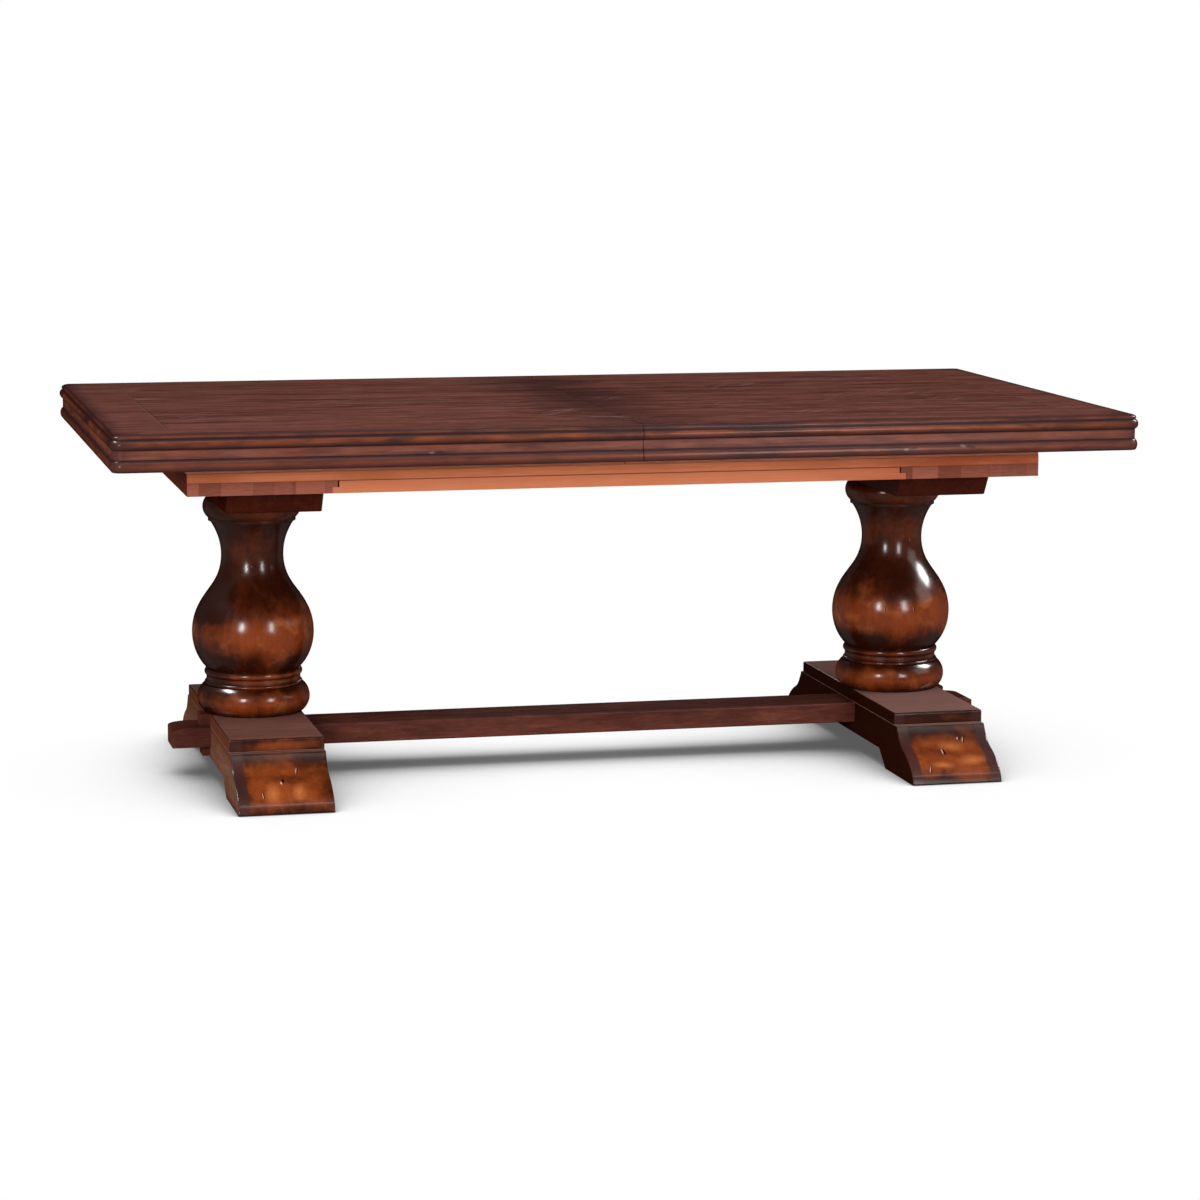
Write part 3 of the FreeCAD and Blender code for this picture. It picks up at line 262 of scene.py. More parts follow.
class Graph:
    """Adds and wires shader nodes in one node tree."""

    def __init__(self, tree):
        self.tree = tree

    def add(self, kind, values=None, **settings):
        node = self.tree.nodes.new(kind)
        for name, value in settings.items():
            setattr(node, name, value)
        for name, value in (values or {}).items():
            self.feed(node.inputs[name], value)
        return node

    def feed(self, socket, value):
        if isinstance(value, bpy.types.NodeSocket):
            self.tree.links.new(value, socket)
        else:
            socket.default_value = value

    def feed_in_order(self, node, values):
        for socket, value in zip(node.inputs, values):
            self.feed(socket, value)

    def math(self, operation, *values):
        node = self.add("ShaderNodeMath", operation=operation)
        self.feed_in_order(node, values)
        return node.outputs[0]

    def plus(self, first, second):
        return self.math("ADD", first, second)

    def minus(self, first, second):
        return self.math("SUBTRACT", first, second)

    def times(self, first, second):
        return self.math("MULTIPLY", first, second)

    def larger(self, first, second):
        return self.math("MAXIMUM", first, second)

    def absolute(self, value):
        return self.math("ABSOLUTE", value)

    def sway(self, value, mask, amount, middle=0.5):
        """Value moved up or down by a mask's departure from its middle."""
        return self.plus(value, self.times(self.minus(mask, middle), amount))

    def vector_math(self, operation, *values):
        node = self.add("ShaderNodeVectorMath", operation=operation)
        self.feed_in_order(node, values)
        return node.outputs["Value" if operation == "LENGTH" else "Vector"]

    def scaled(self, vector, factors):
        return self.vector_math("MULTIPLY", vector, factors)

    def moved(self, vector, offset):
        return self.vector_math("ADD", vector, offset)

    def turned(self, vector, angle, axis):
        return self.add("ShaderNodeVectorRotate", {"Vector": vector, "Angle": angle},
                        rotation_type=axis).outputs[0]

    def join(self, x, y, z):
        return self.add("ShaderNodeCombineXYZ", {"X": x, "Y": y, "Z": z}).outputs[0]

    def split(self, vector):
        return self.add("ShaderNodeSeparateXYZ", {"Vector": vector}).outputs

    def smooth(self, value, low, high, to_low=0.0, to_high=1.0):
        node = self.add("ShaderNodeMapRange", {
            "Value": value, "From Min": low, "From Max": high, "To Min": to_low, "To Max": to_high},
            interpolation_type="SMOOTHSTEP")
        return node.outputs["Result"]

    def noise(self, vector, scale, detail=2.0, roughness=0.5, distortion=0.0):
        node = self.add("ShaderNodeTexNoise", {
            "Vector": vector, "Scale": scale, "Detail": detail, "Roughness": roughness,
            "Distortion": distortion})
        return node.outputs["Fac"]

    def mix(self, share, first, second, blend="MIX"):
        node = self.add("ShaderNodeMix", data_type="RGBA", blend_type=blend)
        self.feed(node.inputs[0], share)
        self.feed(node.inputs[6], first)
        self.feed(node.inputs[7], second)
        return node.outputs[2]

    def mix_shaders(self, share, first, second):
        node = self.add("ShaderNodeMixShader", {"Fac": share})
        self.feed(node.inputs[1], first.outputs[0])
        self.feed(node.inputs[2], second.outputs[0])
        return node

    def ramp(self, value, low, high, stops):
        """Value read off a curve of (place, level) stops, places in the value's own unit."""
        span = high - low
        share = self.add("ShaderNodeMapRange", {"Value": value, "From Min": low, "From Max": high})
        node = self.add("ShaderNodeValToRGB", {"Fac": share.outputs["Result"]})
        points = node.color_ramp.elements
        while len(points) < len(stops):
            points.new(0.5)
        for point, (place, level) in zip(points, stops):
            point.position = (place - low) / span
            point.color = (level, level, level, 1.0)
        return node.outputs["Color"]

    def group(self, name, **values):
        node = self.add("ShaderNodeGroup", node_tree=bpy.data.node_groups[name])
        for label, value in values.items():
            self.feed(node.inputs[label.title()], value)
        return node.outputs


def new_group(name, inputs, outputs):
    """Empty shader node group with named sockets, and its graph, sources and sinks."""
    tree = bpy.data.node_groups.new(name, "ShaderNodeTree")
    for label, kind, default in inputs:
        socket = tree.interface.new_socket(label, in_out="INPUT", socket_type=kind)
        if default is not None:
            socket.default_value = default
    for label, kind in outputs:
        tree.interface.new_socket(label, in_out="OUTPUT", socket_type=kind)
    graph = Graph(tree)
    return graph, graph.add("NodeGroupInput").outputs, graph.add("NodeGroupOutput").inputs


# Shared effects

def make_stained_grain():
    """Long grain: broad figure, fine fibre and short pores along the vector's X."""
    graph, source, sink = new_group("stained_grain", [
        ("Vector", VECTOR, None), ("Seed", FLOAT, 0.0), ("Dark", COLOUR, None), ("Light", COLOUR, None),
        ("Figure", FLOAT, 1.0), ("Contrast", FLOAT, 1.0), ("Fibre", FLOAT, 1.0)],
        [("Color", COLOUR), ("Height", FLOAT), ("Figure", FLOAT)])
    shift = graph.join(*(graph.times(source["Seed"], step) for step in (7.31, 3.17, 5.77)))
    place = graph.moved(source["Vector"], shift)
    broad = graph.noise(graph.scaled(place, (1.3, 17.0, 17.0)), source["Figure"], 5.0, 0.6, 0.5)
    streak = graph.noise(graph.scaled(place, (9.0, 55.0, 55.0)), source["Figure"], 4.0, 0.65, 0.2)
    fibre = graph.noise(graph.scaled(place, (14.0, 520.0, 520.0)), 1.0, 2.0)
    pores = graph.smooth(graph.noise(graph.scaled(place, (38.0, 900.0, 900.0)), 1.0, 1.0), 0.6, 0.74)
    figure = graph.plus(graph.times(broad, 0.45), graph.times(streak, 0.55))
    reach = graph.math("DIVIDE", 0.03, graph.times(source["Contrast"], 0.17))
    figure = graph.smooth(figure, graph.minus(0.5, reach), graph.plus(0.5, reach))
    colour = graph.mix(figure, source["Dark"], source["Light"])
    fine = graph.times(graph.smooth(fibre, 0.35, 0.7, 0.0, 0.28), source["Fibre"])
    colour = graph.mix(fine, colour, source["Dark"])
    open_pores = graph.times(graph.times(pores, 0.45), source["Fibre"])
    colour = graph.mix(open_pores, colour, source["Dark"])
    speckle = graph.noise(graph.scaled(place, (60.0, 230.0, 230.0)), 1.0, 2.0)
    colour = graph.mix(graph.smooth(speckle, 0.4, 0.68, 0.0, 0.3), colour, source["Dark"])
    graph.feed(sink["Color"], colour)
    graph.feed(sink["Figure"], figure)
    graph.feed(sink["Height"], graph.minus(graph.times(fibre, 0.4), pores))


def make_burnished_edge():
    """Dark glaze that fades out with the distance from an edge, with a ragged end."""
    graph, source, sink = new_group("burnished_edge", [
        ("Vector", VECTOR, None), ("Distance", FLOAT, 0.0), ("Width", FLOAT, 0.01), ("Softness", FLOAT, 0.5),
        ("Ragged", FLOAT, 0.3), ("Scale", FLOAT, 18.0)], [("Mask", FLOAT)])
    waver = graph.minus(graph.noise(source["Vector"], source["Scale"], 4.0, 0.6), 0.5)
    waver = graph.times(waver, graph.times(source["Ragged"], source["Width"]))
    reach = graph.plus(source["Distance"], waver)
    soft = graph.times(source["Softness"], source["Width"])
    low = graph.minus(source["Width"], soft)
    high = graph.plus(source["Width"], soft)
    graph.feed(sink["Mask"], graph.smooth(reach, low, high, 1.0, 0.0))


def make_rubbed_patches():
    """Soft clouds where the stain was rubbed thin."""
    graph, source, sink = new_group("rubbed_patches", [
        ("Vector", VECTOR, None), ("Scale", FLOAT, 8.0), ("Low", FLOAT, 0.4), ("High", FLOAT, 0.65)],
        [("Mask", FLOAT)])
    cloud = graph.noise(source["Vector"], source["Scale"], 3.0, 0.5, 0.3)
    graph.feed(sink["Mask"], graph.smooth(cloud, source["Low"], source["High"]))


def make_glued_boards():
    """Tone and grain shift of each board in a glued-up panel, and the joints between boards."""
    graph, source, sink = new_group("glued_boards", [
        ("Across", FLOAT, 0.0), ("Width", FLOAT, 0.1), ("Seed", FLOAT, 0.0)],
        [("Tone", FLOAT), ("Shift", FLOAT), ("Joint", FLOAT)])
    place = graph.math("DIVIDE", source["Across"], source["Width"])
    index = graph.math("FLOOR", place)
    chance = graph.add("ShaderNodeTexWhiteNoise", {"W": graph.plus(index, source["Seed"])},
                       noise_dimensions="1D").outputs["Value"]
    within = graph.minus(place, index)
    near = graph.math("MINIMUM", within, graph.minus(1.0, within))
    graph.feed(sink["Tone"], chance)
    graph.feed(sink["Shift"], graph.times(chance, 9.0))
    graph.feed(sink["Joint"], graph.smooth(graph.times(near, source["Width"]), 0.0003, 0.0012, 1.0, 0.0))


def make_old_knocks():
    """Scattered dents left by use."""
    graph, source, sink = new_group("old_knocks", [
        ("Vector", VECTOR, None), ("Scale", FLOAT, 14.0), ("Share", FLOAT, 0.3), ("Size", FLOAT, 0.08)],
        [("Mask", FLOAT)])
    cells = graph.add("ShaderNodeTexVoronoi", {"Vector": source["Vector"], "Scale": source["Scale"]})
    pick = graph.add("ShaderNodeSeparateColor", {"Color": cells.outputs["Color"]})
    chosen = graph.math("LESS_THAN", pick.outputs["Red"], source["Share"])
    ragged = graph.noise(source["Vector"], graph.times(source["Scale"], 22.0), 2.0)
    reach = graph.plus(cells.outputs["Distance"], graph.times(ragged, 0.04))
    dent = graph.smooth(reach, graph.times(source["Size"], 0.4), source["Size"], 1.0, 0.0)
    graph.feed(sink["Mask"], graph.times(dent, chosen))


def make_fine_scratches():
    """Thin straight scratches in two directions."""
    graph, source, sink = new_group("fine_scratches", [
        ("Vector", VECTOR, None), ("Amount", FLOAT, 0.5)], [("Mask", FLOAT)])
    masks = []
    for turn, shift in ((0.5, 0.0), (-0.85, 3.0)):
        slanted = graph.moved(graph.turned(source["Vector"], turn, "Z_AXIS"), (shift, shift, shift))
        lines = graph.noise(graph.scaled(slanted, (7.0, 400.0, 7.0)), 1.0, 1.0)
        where = graph.noise(graph.moved(source["Vector"], (shift, 1.7, shift)), 5.0, 1.0)
        masks.append(graph.times(graph.smooth(lines, 0.66, 0.71), graph.smooth(where, 0.55, 0.65)))
    graph.feed(sink["Mask"], graph.times(graph.larger(*masks), source["Amount"]))


def make_moulding_shade():
    """Dark glaze in the quirks of the double moulded rim with painted shade on the beads' edges, the rubbed
    beads and the frieze between.
    """
    graph, source, sink = new_group("moulding_shade", [("Vector", VECTOR, None)],
                                    [("GlazeAndShade", FLOAT), ("Bead", FLOAT), ("Frieze", FLOAT)])
    drop = graph.minus(TOP_Z, graph.split(source["Vector"])["Z"])
    for label, stops in (("GlazeAndShade", GLAZE_AND_SHADE_STOPS), ("Bead", BEAD_STOPS), ("Frieze", FRIEZE_STOPS)):
        graph.feed(sink[label], graph.ramp(drop, 0.0, RIM_DEPTH, stops))


def make_small_mark():
    """One slanted dent or knot at a place: a ragged hollow with a painted highlight on the lip along its left
    side.
    """
    graph, source, sink = new_group("small_mark", [
        ("Vector", VECTOR, None), ("Place", VECTOR, None), ("Size", VECTOR, None), ("Lean", FLOAT, 0.0),
        ("Softness", FLOAT, 0.0)], [("Hollow", FLOAT), ("Lip", FLOAT)])
    away = graph.vector_math("SUBTRACT", source["Vector"], source["Place"])
    share = graph.vector_math("DIVIDE", graph.turned(away, source["Lean"], "Y_AXIS"), source["Size"])
    ragged = graph.times(graph.noise(source["Vector"], 330.0, 2.0), 0.5)
    reach = graph.plus(graph.vector_math("LENGTH", share), ragged)
    core = graph.times(graph.minus(1.0, source["Softness"]), 0.8)
    hollow = graph.smooth(reach, core, 1.2, 1.0, 0.0)
    beside = graph.scaled(graph.moved(share, (1.3, 0.0, 0.0)), (1.5, 1.0, 1.1))
    lit_lip = graph.smooth(graph.plus(graph.vector_math("LENGTH", beside), ragged), 0.6, 1.2, 1.0, 0.0)
    graph.feed(sink["Hollow"], hollow)
    graph.feed(sink["Lip"], graph.times(lit_lip, graph.minus(1.0, hollow)))


def make_shared_effects():
    make_stained_grain()
    make_burnished_edge()
    make_rubbed_patches()
    make_glued_boards()
    make_old_knocks()
    make_fine_scratches()
    make_moulding_shade()
    make_small_mark()


class Finish:
    """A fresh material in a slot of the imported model, with its coordinates at hand."""

    def __init__(self, slot, roughness, specular=0.0):
        material = bpy.data.materials[slot]
        material.use_nodes = True
        material.node_tree.nodes.clear()
        self.graph = Graph(material.node_tree)
        self.shader = self.graph.add("ShaderNodeBsdfPrincipled", {
            "Roughness": roughness, "Specular IOR Level": specular})
        self.graph.add("ShaderNodeOutputMaterial", {"Surface": self.shader.outputs["BSDF"]})
        coords = self.graph.add("ShaderNodeTexCoord")
        self.vector = coords.outputs["Object"]
        self.x, self.y, self.z = self.graph.split(self.vector)
        self.facing = [self.graph.absolute(value) for value in self.graph.split(coords.outputs["Normal"])]
        self.side = self.graph.math("GREATER_THAN", self.x, 0.0)

    def along(self, axis):
        """Coordinates turned so that the grain runs along an axis."""
        order = {"X": (self.x, self.y, self.z), "Y": (self.y, self.x, self.z), "Z": (self.z, self.x, self.y)}
        return self.graph.join(*order[axis])

    def sided(self, seed):
        """Seed that differs between the left and right half of the table."""
        return self.graph.plus(self.side, seed)

    def grain(self, vector, seed, dark, light, figure, contrast, fibre=1.0):
        return self.graph.group("stained_grain", vector=vector, seed=seed, dark=dark, light=light,
                                figure=figure, contrast=contrast, fibre=fibre)

    def edge(self, distance, width, softness, ragged, scale):
        """Mask of the dark glaze beside an edge."""
        return self.graph.group("burnished_edge", vector=self.vector, distance=distance, width=width,
                                softness=softness, ragged=ragged, scale=scale)["Mask"]

    def patches(self, scale, low, high, squeeze=None):
        """Mask of soft clouds, squeezed in height where a factor is given."""
        vector = self.vector
        if squeeze:
            vector = self.graph.scaled(vector, (1.0, 1.0, squeeze))
        return self.graph.group("rubbed_patches", vector=vector, scale=scale, low=low, high=high)["Mask"]

    def marks(self, places, softness=0.0):
        """Hollows and painted lip highlights of separate marks: dents, knots, slits or golden painted
        highlights, given as (place, half sizes, lean).
        """
        hollow, lit_lip = 0.0, 0.0
        for place, size, lean in places:
            mark = self.graph.group("small_mark", vector=self.vector, place=place, size=size, lean=lean,
                                    softness=softness)
            hollow = self.graph.larger(hollow, mark["Hollow"])
            lit_lip = self.graph.larger(lit_lip, mark["Lip"])
        return hollow, lit_lip

    def colour(self, value):
        self.graph.feed(self.shader.inputs["Base Color"], value)

    def gloss(self, value):
        self.graph.feed(self.shader.inputs["Roughness"], value)

    def lacquer(self, weight, roughness):
        """Clear coat that shows the lamps but not the white backdrop at a glancing angle."""
        glancing = self.graph.add("ShaderNodeLayerWeight", {"Blend": 0.5}).outputs["Facing"]
        seen = self.graph.smooth(glancing, 0.45, 0.88, 1.0, 0.0)
        self.graph.feed(self.shader.inputs["Coat Weight"], self.graph.times(seen, weight))
        self.shader.inputs["Coat Roughness"].default_value = roughness

    def relief(self, height, strength, distance=GRAIN_DEPTH):
        """Bump of the grain over arrises that handling has rounded."""
        rounded = self.graph.add("ShaderNodeBevel", {"Radius": ARRIS_RADIUS}, samples=4).outputs["Normal"]
        bump = self.graph.add("ShaderNodeBump", {
            "Height": height, "Strength": strength, "Distance": distance, "Normal": rounded})
        self.graph.feed(self.shader.inputs["Normal"], bump.outputs["Normal"])


# Materials of the top

def seam_glaze(finish, looks):
    """Ragged dark glaze on both sides of the seam."""
    from_seam = finish.graph.absolute(finish.x)
    return finish.edge(from_seam, looks.seam_shade, softness=0.95, ragged=2.2, scale=6.0)


def finish_field(looks):
    """Field panels: streaky long grain, dark glaze along the seam, a few scratches."""
    finish = Finish("field_wood", 0.45)
    graph = finish.graph
    boards = graph.group("glued_boards", across=finish.y, width=looks.board_width,
                         seed=graph.times(finish.side, 31.0))
    seed = graph.plus(boards["Shift"], graph.times(finish.side, 4.0))
    grain = finish.grain(finish.along("X"), seed, looks.streak, looks.stain, figure=1.0, contrast=1.15)
    colour = graph.mix(graph.smooth(boards["Tone"], 0.0, 1.0, 0.0, 0.3), grain["Color"], looks.streak)
    colour = graph.mix(graph.times(boards["Joint"], 0.35), colour, looks.burnish_and_shade)
    seam = graph.times(seam_glaze(finish, looks), graph.smooth(finish.y, -0.42, -0.15, 0.4, 0.62))
    colour = graph.mix(seam, colour, looks.burnish_and_shade)
    from_seam = graph.absolute(finish.x)
    from_joint = graph.minus(BOARD_JOINT_X, from_seam)
    joint = finish.edge(from_joint, width=0.002, softness=0.8, ragged=1.5, scale=20.0)
    colour = graph.mix(graph.times(joint, 0.6), colour, looks.burnish_and_shade)
    from_strip = graph.minus(STRIP_JOINT_Y, graph.absolute(finish.y))
    colour = graph.mix(graph.smooth(from_strip, 0.0004, 0.0016, 0.6, 0.0), colour, looks.burnish_and_shade)
    near_seam = graph.smooth(from_seam, 0.05, 0.2, 0.9, 0.35)
    scratches = graph.group("fine_scratches", vector=finish.vector, amount=near_seam)["Mask"]
    specks = graph.group("old_knocks", vector=finish.vector, scale=70.0, share=0.16, size=0.11)["Mask"]
    specks = graph.times(specks, graph.smooth(from_seam, 0.06, 0.12, 1.0, 0.0))
    finish.colour(graph.mix(graph.larger(scratches, specks), colour, SCRATCH_PALE))
    finish.gloss(graph.smooth(grain["Figure"], 0.0, 1.0, 0.5, 0.4))
    finish.lacquer(0.3, 0.28)
    finish.relief(grain["Height"], 0.25)


def rim_colour(finish, looks, colour, patches):
    """Glaze, beads and frieze of the moulded rim over a board's own colour."""
    graph = finish.graph
    rim = graph.group("moulding_shade", vector=finish.vector)
    upright = graph.smooth(finish.facing[2], 0.9, 0.995, 1.0, 0.0)
    rubbed = finish.patches(11.0, low=0.3, high=0.65, squeeze=3.0)
    colour = graph.mix(upright, colour, RIM_TINT, "MULTIPLY")
    bead = graph.times(rim["Bead"], graph.smooth(rubbed, 0.0, 1.0, 0.3, 0.9))
    colour = graph.mix(bead, colour, graph.mix(patches, looks.bead, colour))
    smears = graph.noise(graph.scaled(finish.vector, (5.0, 5.0, 130.0)), 1.0, 4.0, 0.7)
    warm = graph.mix(graph.smooth(smears, 0.38, 0.62), looks.frieze, WARM_FRIEZE)
    frieze = graph.times(rim["Frieze"], graph.smooth(rubbed, 0.0, 1.0, 0.75, 0.4))
    colour = graph.mix(frieze, colour, warm)
    dark_smears = graph.times(graph.smooth(smears, 0.3, 0.46, 0.55, 0.0), upright)
    colour = graph.mix(dark_smears, colour, looks.burnish_and_shade)
    end_gap = graph.minus(END_X, graph.absolute(finish.x))
    side_gap = graph.minus(SIDE_Y, graph.absolute(finish.y))
    corner = finish.edge(graph.larger(end_gap, side_gap), width=0.045, softness=0.9, ragged=1.2, scale=20.0)
    # Glaze in the quirks and painted shade on the beads' edges, with dark glaze at the corners
    shade = graph.larger(graph.times(rim["GlazeAndShade"], upright), graph.times(corner, 0.7))
    shade = graph.larger(shade, graph.times(graph.times(patches, upright), 0.6))
    return graph.mix(shade, colour, looks.burnish_and_shade)


def rim_lacquer(finish):
    """Lacquer of the rim, thinner on the ends, where the side lamps would glare off the beads."""
    graph = finish.graph
    endways = graph.smooth(finish.facing[0], 0.1, 0.4)
    sideways = graph.smooth(finish.facing[1], 0.1, 0.4, 1.0, 0.0)
    finish.lacquer(graph.smooth(graph.times(endways, sideways), 0.0, 1.0, 0.22, 0.03), 0.25)


def finish_rim_board(slot, looks):
    """Breadboard ends or long edge strips with the upper moulding."""
    finish = Finish(slot, 0.4)
    graph = finish.graph
    grain = finish.grain(finish.along("X"), finish.sided(2.0), looks.streak, looks.stain,
                         figure=1.2, contrast=0.7)
    from_end = graph.minus(BOARD_HIGH.x - LIP_WIDTH, graph.absolute(finish.x))
    from_front = graph.minus(-EDGE_FRONT - LIP_WIDTH, graph.absolute(finish.y))
    from_rim = graph.math("MINIMUM", from_end, from_front)
    edge = finish.edge(from_rim, width=0.02, softness=0.95, ragged=1.4, scale=12.0)
    colour = graph.mix(graph.times(edge, 0.6), grain["Color"], looks.burnish_and_shade)
    if slot == "breadboard_wood":
        from_joint = graph.minus(graph.absolute(finish.x), BOARD_JOINT_X)
        colour = graph.mix(graph.smooth(from_joint, 0.0008, 0.0022, 0.35, 0.0), colour, JOINT_PALE)
    else:
        colour = graph.mix(graph.times(seam_glaze(finish, looks), 0.45), colour, looks.burnish_and_shade)
    patches = finish.patches(5.0, low=0.5, high=0.7, squeeze=4.0)
    finish.colour(rim_colour(finish, looks, colour, patches))
    rim_lacquer(finish)
    finish.relief(grain["Height"], 0.25)


def finish_aprons(looks):
    """Aprons with frieze and lower bead, grain along each piece."""
    finish = Finish("apron_wood", 0.4)
    graph = finish.graph
    vector = graph.add("ShaderNodeMix", data_type="VECTOR")
    graph.feed(vector.inputs[0], graph.smooth(finish.facing[0], 0.6, 0.8))
    graph.feed(vector.inputs[4], finish.along("X"))
    graph.feed(vector.inputs[5], finish.along("Y"))
    grain = finish.grain(vector.outputs[1], finish.sided(6.0), looks.streak, looks.stain,
                         figure=1.4, contrast=0.8)
    patches = finish.patches(5.5, low=0.5, high=0.7, squeeze=4.0)
    # Dark knots, each with a painted highlight on its left lip
    hollow, lit_lip = finish.marks(APRON_KNOTS)
    colour = rim_colour(finish, looks, grain["Color"], patches)
    colour = graph.mix(graph.times(hollow, 0.8), colour, looks.burnish_and_shade)
    finish.colour(graph.mix(graph.times(lit_lip, 0.3), colour, KNOT_HIGHLIGHT))
    rim_lacquer(finish)
    finish.relief(grain["Height"], 0.25)


# Materials of the pedestals

def finish_columns(looks):
    """Turned columns: amber on the swells, dark glaze in hollows and grooves, some painted shade and
    highlights.
    """
    finish = Finish("turned_wood", 0.42)
    graph = finish.graph
    red_amber = tint(looks.amber, 0.92, 0.76, 0.55)
    grain = finish.grain(finish.along("Z"), finish.sided(9.0), looks.brown, red_amber,
                         figure=0.8, contrast=0.32, fibre=0.1)
    shade = graph.ramp(finish.z, COLUMN_LOW.z, COLUMN_HIGH.z, COLUMN_STOPS)
    flames = finish.patches(14.0, low=0.3, high=0.68, squeeze=0.55)
    shade = graph.sway(shade, flames, graph.smooth(finish.z, 0.33, 0.42, 0.5, 0.2))
    # Painted shade: the left column darker towards its outer side
    outer_side_shade = graph.smooth(graph.absolute(finish.x), PEDESTAL_X + 0.02, COLUMN_HIGH.x, 0.0, 0.5)
    shade = graph.plus(shade, graph.times(outer_side_shade, graph.minus(1.0, finish.side)))
    shade = graph.sway(shade, graph.noise(finish.vector, 75.0, 3.0, 0.6), 0.4)
    thin = finish.patches(19.0, low=0.5, high=0.72, squeeze=1.4)
    thin = graph.times(thin, graph.smooth(finish.z, 0.33, 0.4, 0.4, 0.1))
    swell = graph.mix(thin, grain["Color"], looks.gold_and_painted_highlight)
    colour = graph.mix(graph.smooth(shade, 0.0, 1.0), swell, looks.burnish_and_shade)
    # Dark slits, each with a painted highlight on its left lip
    hollow, lit_lip = finish.marks(COLUMN_SLITS)
    colour = graph.mix(hollow, colour, looks.burnish_and_shade)
    finish.colour(graph.mix(graph.times(lit_lip, 0.4), colour, SLIT_HIGHLIGHT))
    finish.gloss(graph.smooth(grain["Figure"], 0.0, 1.0, 0.48, 0.38))
    finish.lacquer(0.5, 0.2)
    finish.relief(grain["Height"], 0.05, 0.0003)


def foot_flank_colour(finish, looks, local, clouds):
    """Long grain of a foot's sides with painted shade: near black on the side towards the stretcher, darker
    towards the top.
    """
    graph = finish.graph
    grain = finish.grain(finish.along("Y"), finish.sided(26.0), FLANK_DARK, FLANK_LIGHT,
                         figure=1.0, contrast=0.55)
    outer = graph.mix(graph.times(clouds, 0.35), grain["Color"], FLANK_DARK)
    # Painted shade under the platform and around the tenon: darker towards the top
    outer = graph.mix(graph.smooth(finish.z, 0.06, 0.11, 0.0, 0.65), outer, looks.brown)
    # Painted shade on the side towards the stretcher; both sides also darker near the floor
    inner_side_shade = graph.smooth(local, -FOOT_HALF_WIDTH, -FOOT_HALF_WIDTH + 0.002, 0.98, 0.0)
    low = graph.smooth(finish.z, 0.0, 0.02, 0.5, 0.0)
    return graph.mix(graph.larger(inner_side_shade, low), outer, looks.burnish_and_shade)


def foot_face_colour(finish, looks, grain, from_side, clouds):
    """Amber of a foot's end faces with golden painted highlights, darker towards the sides, the toe and the
    ledge.
    """
    graph = finish.graph
    blotches = finish.patches(24.0, low=0.3, high=0.62, squeeze=0.6)
    face = graph.mix(graph.times(blotches, 0.45), grain["Color"], looks.amber)
    # Golden patches are painted highlights where lamps shine on the end faces; the glaze is thinner under
    # them too
    painted_highlights, _ = finish.marks(FOOT_PAINTED_HIGHLIGHTS, softness=1.0)
    face = graph.mix(graph.times(painted_highlights, 0.85), face, looks.gold_and_painted_highlight)
    shoulder = graph.ramp(finish.z, 0.0, FOOT_STOPS_TOP, FOOT_STOPS)
    platform = graph.times(graph.smooth(finish.z, LEDGE_Z - 0.001, LEDGE_Z + 0.002, 0.0, 0.3), finish.side)
    fade = finish.edge(from_side, width=0.03, softness=0.95, ragged=0.9, scale=20.0)
    fade = graph.times(fade, graph.smooth(finish.side, 0.0, 1.0, 0.8, 0.45))
    shade = graph.larger(graph.plus(shoulder, platform), fade)
    shade = graph.sway(shade, clouds, 0.45, middle=0.4)
    shade = graph.minus(shade, graph.times(painted_highlights, 0.2))
    shade = graph.sway(shade, graph.noise(finish.vector, 90.0, 3.0, 0.6), 0.3)
    return graph.mix(graph.smooth(shade, 0.0, 1.0), face, looks.burnish_and_shade)


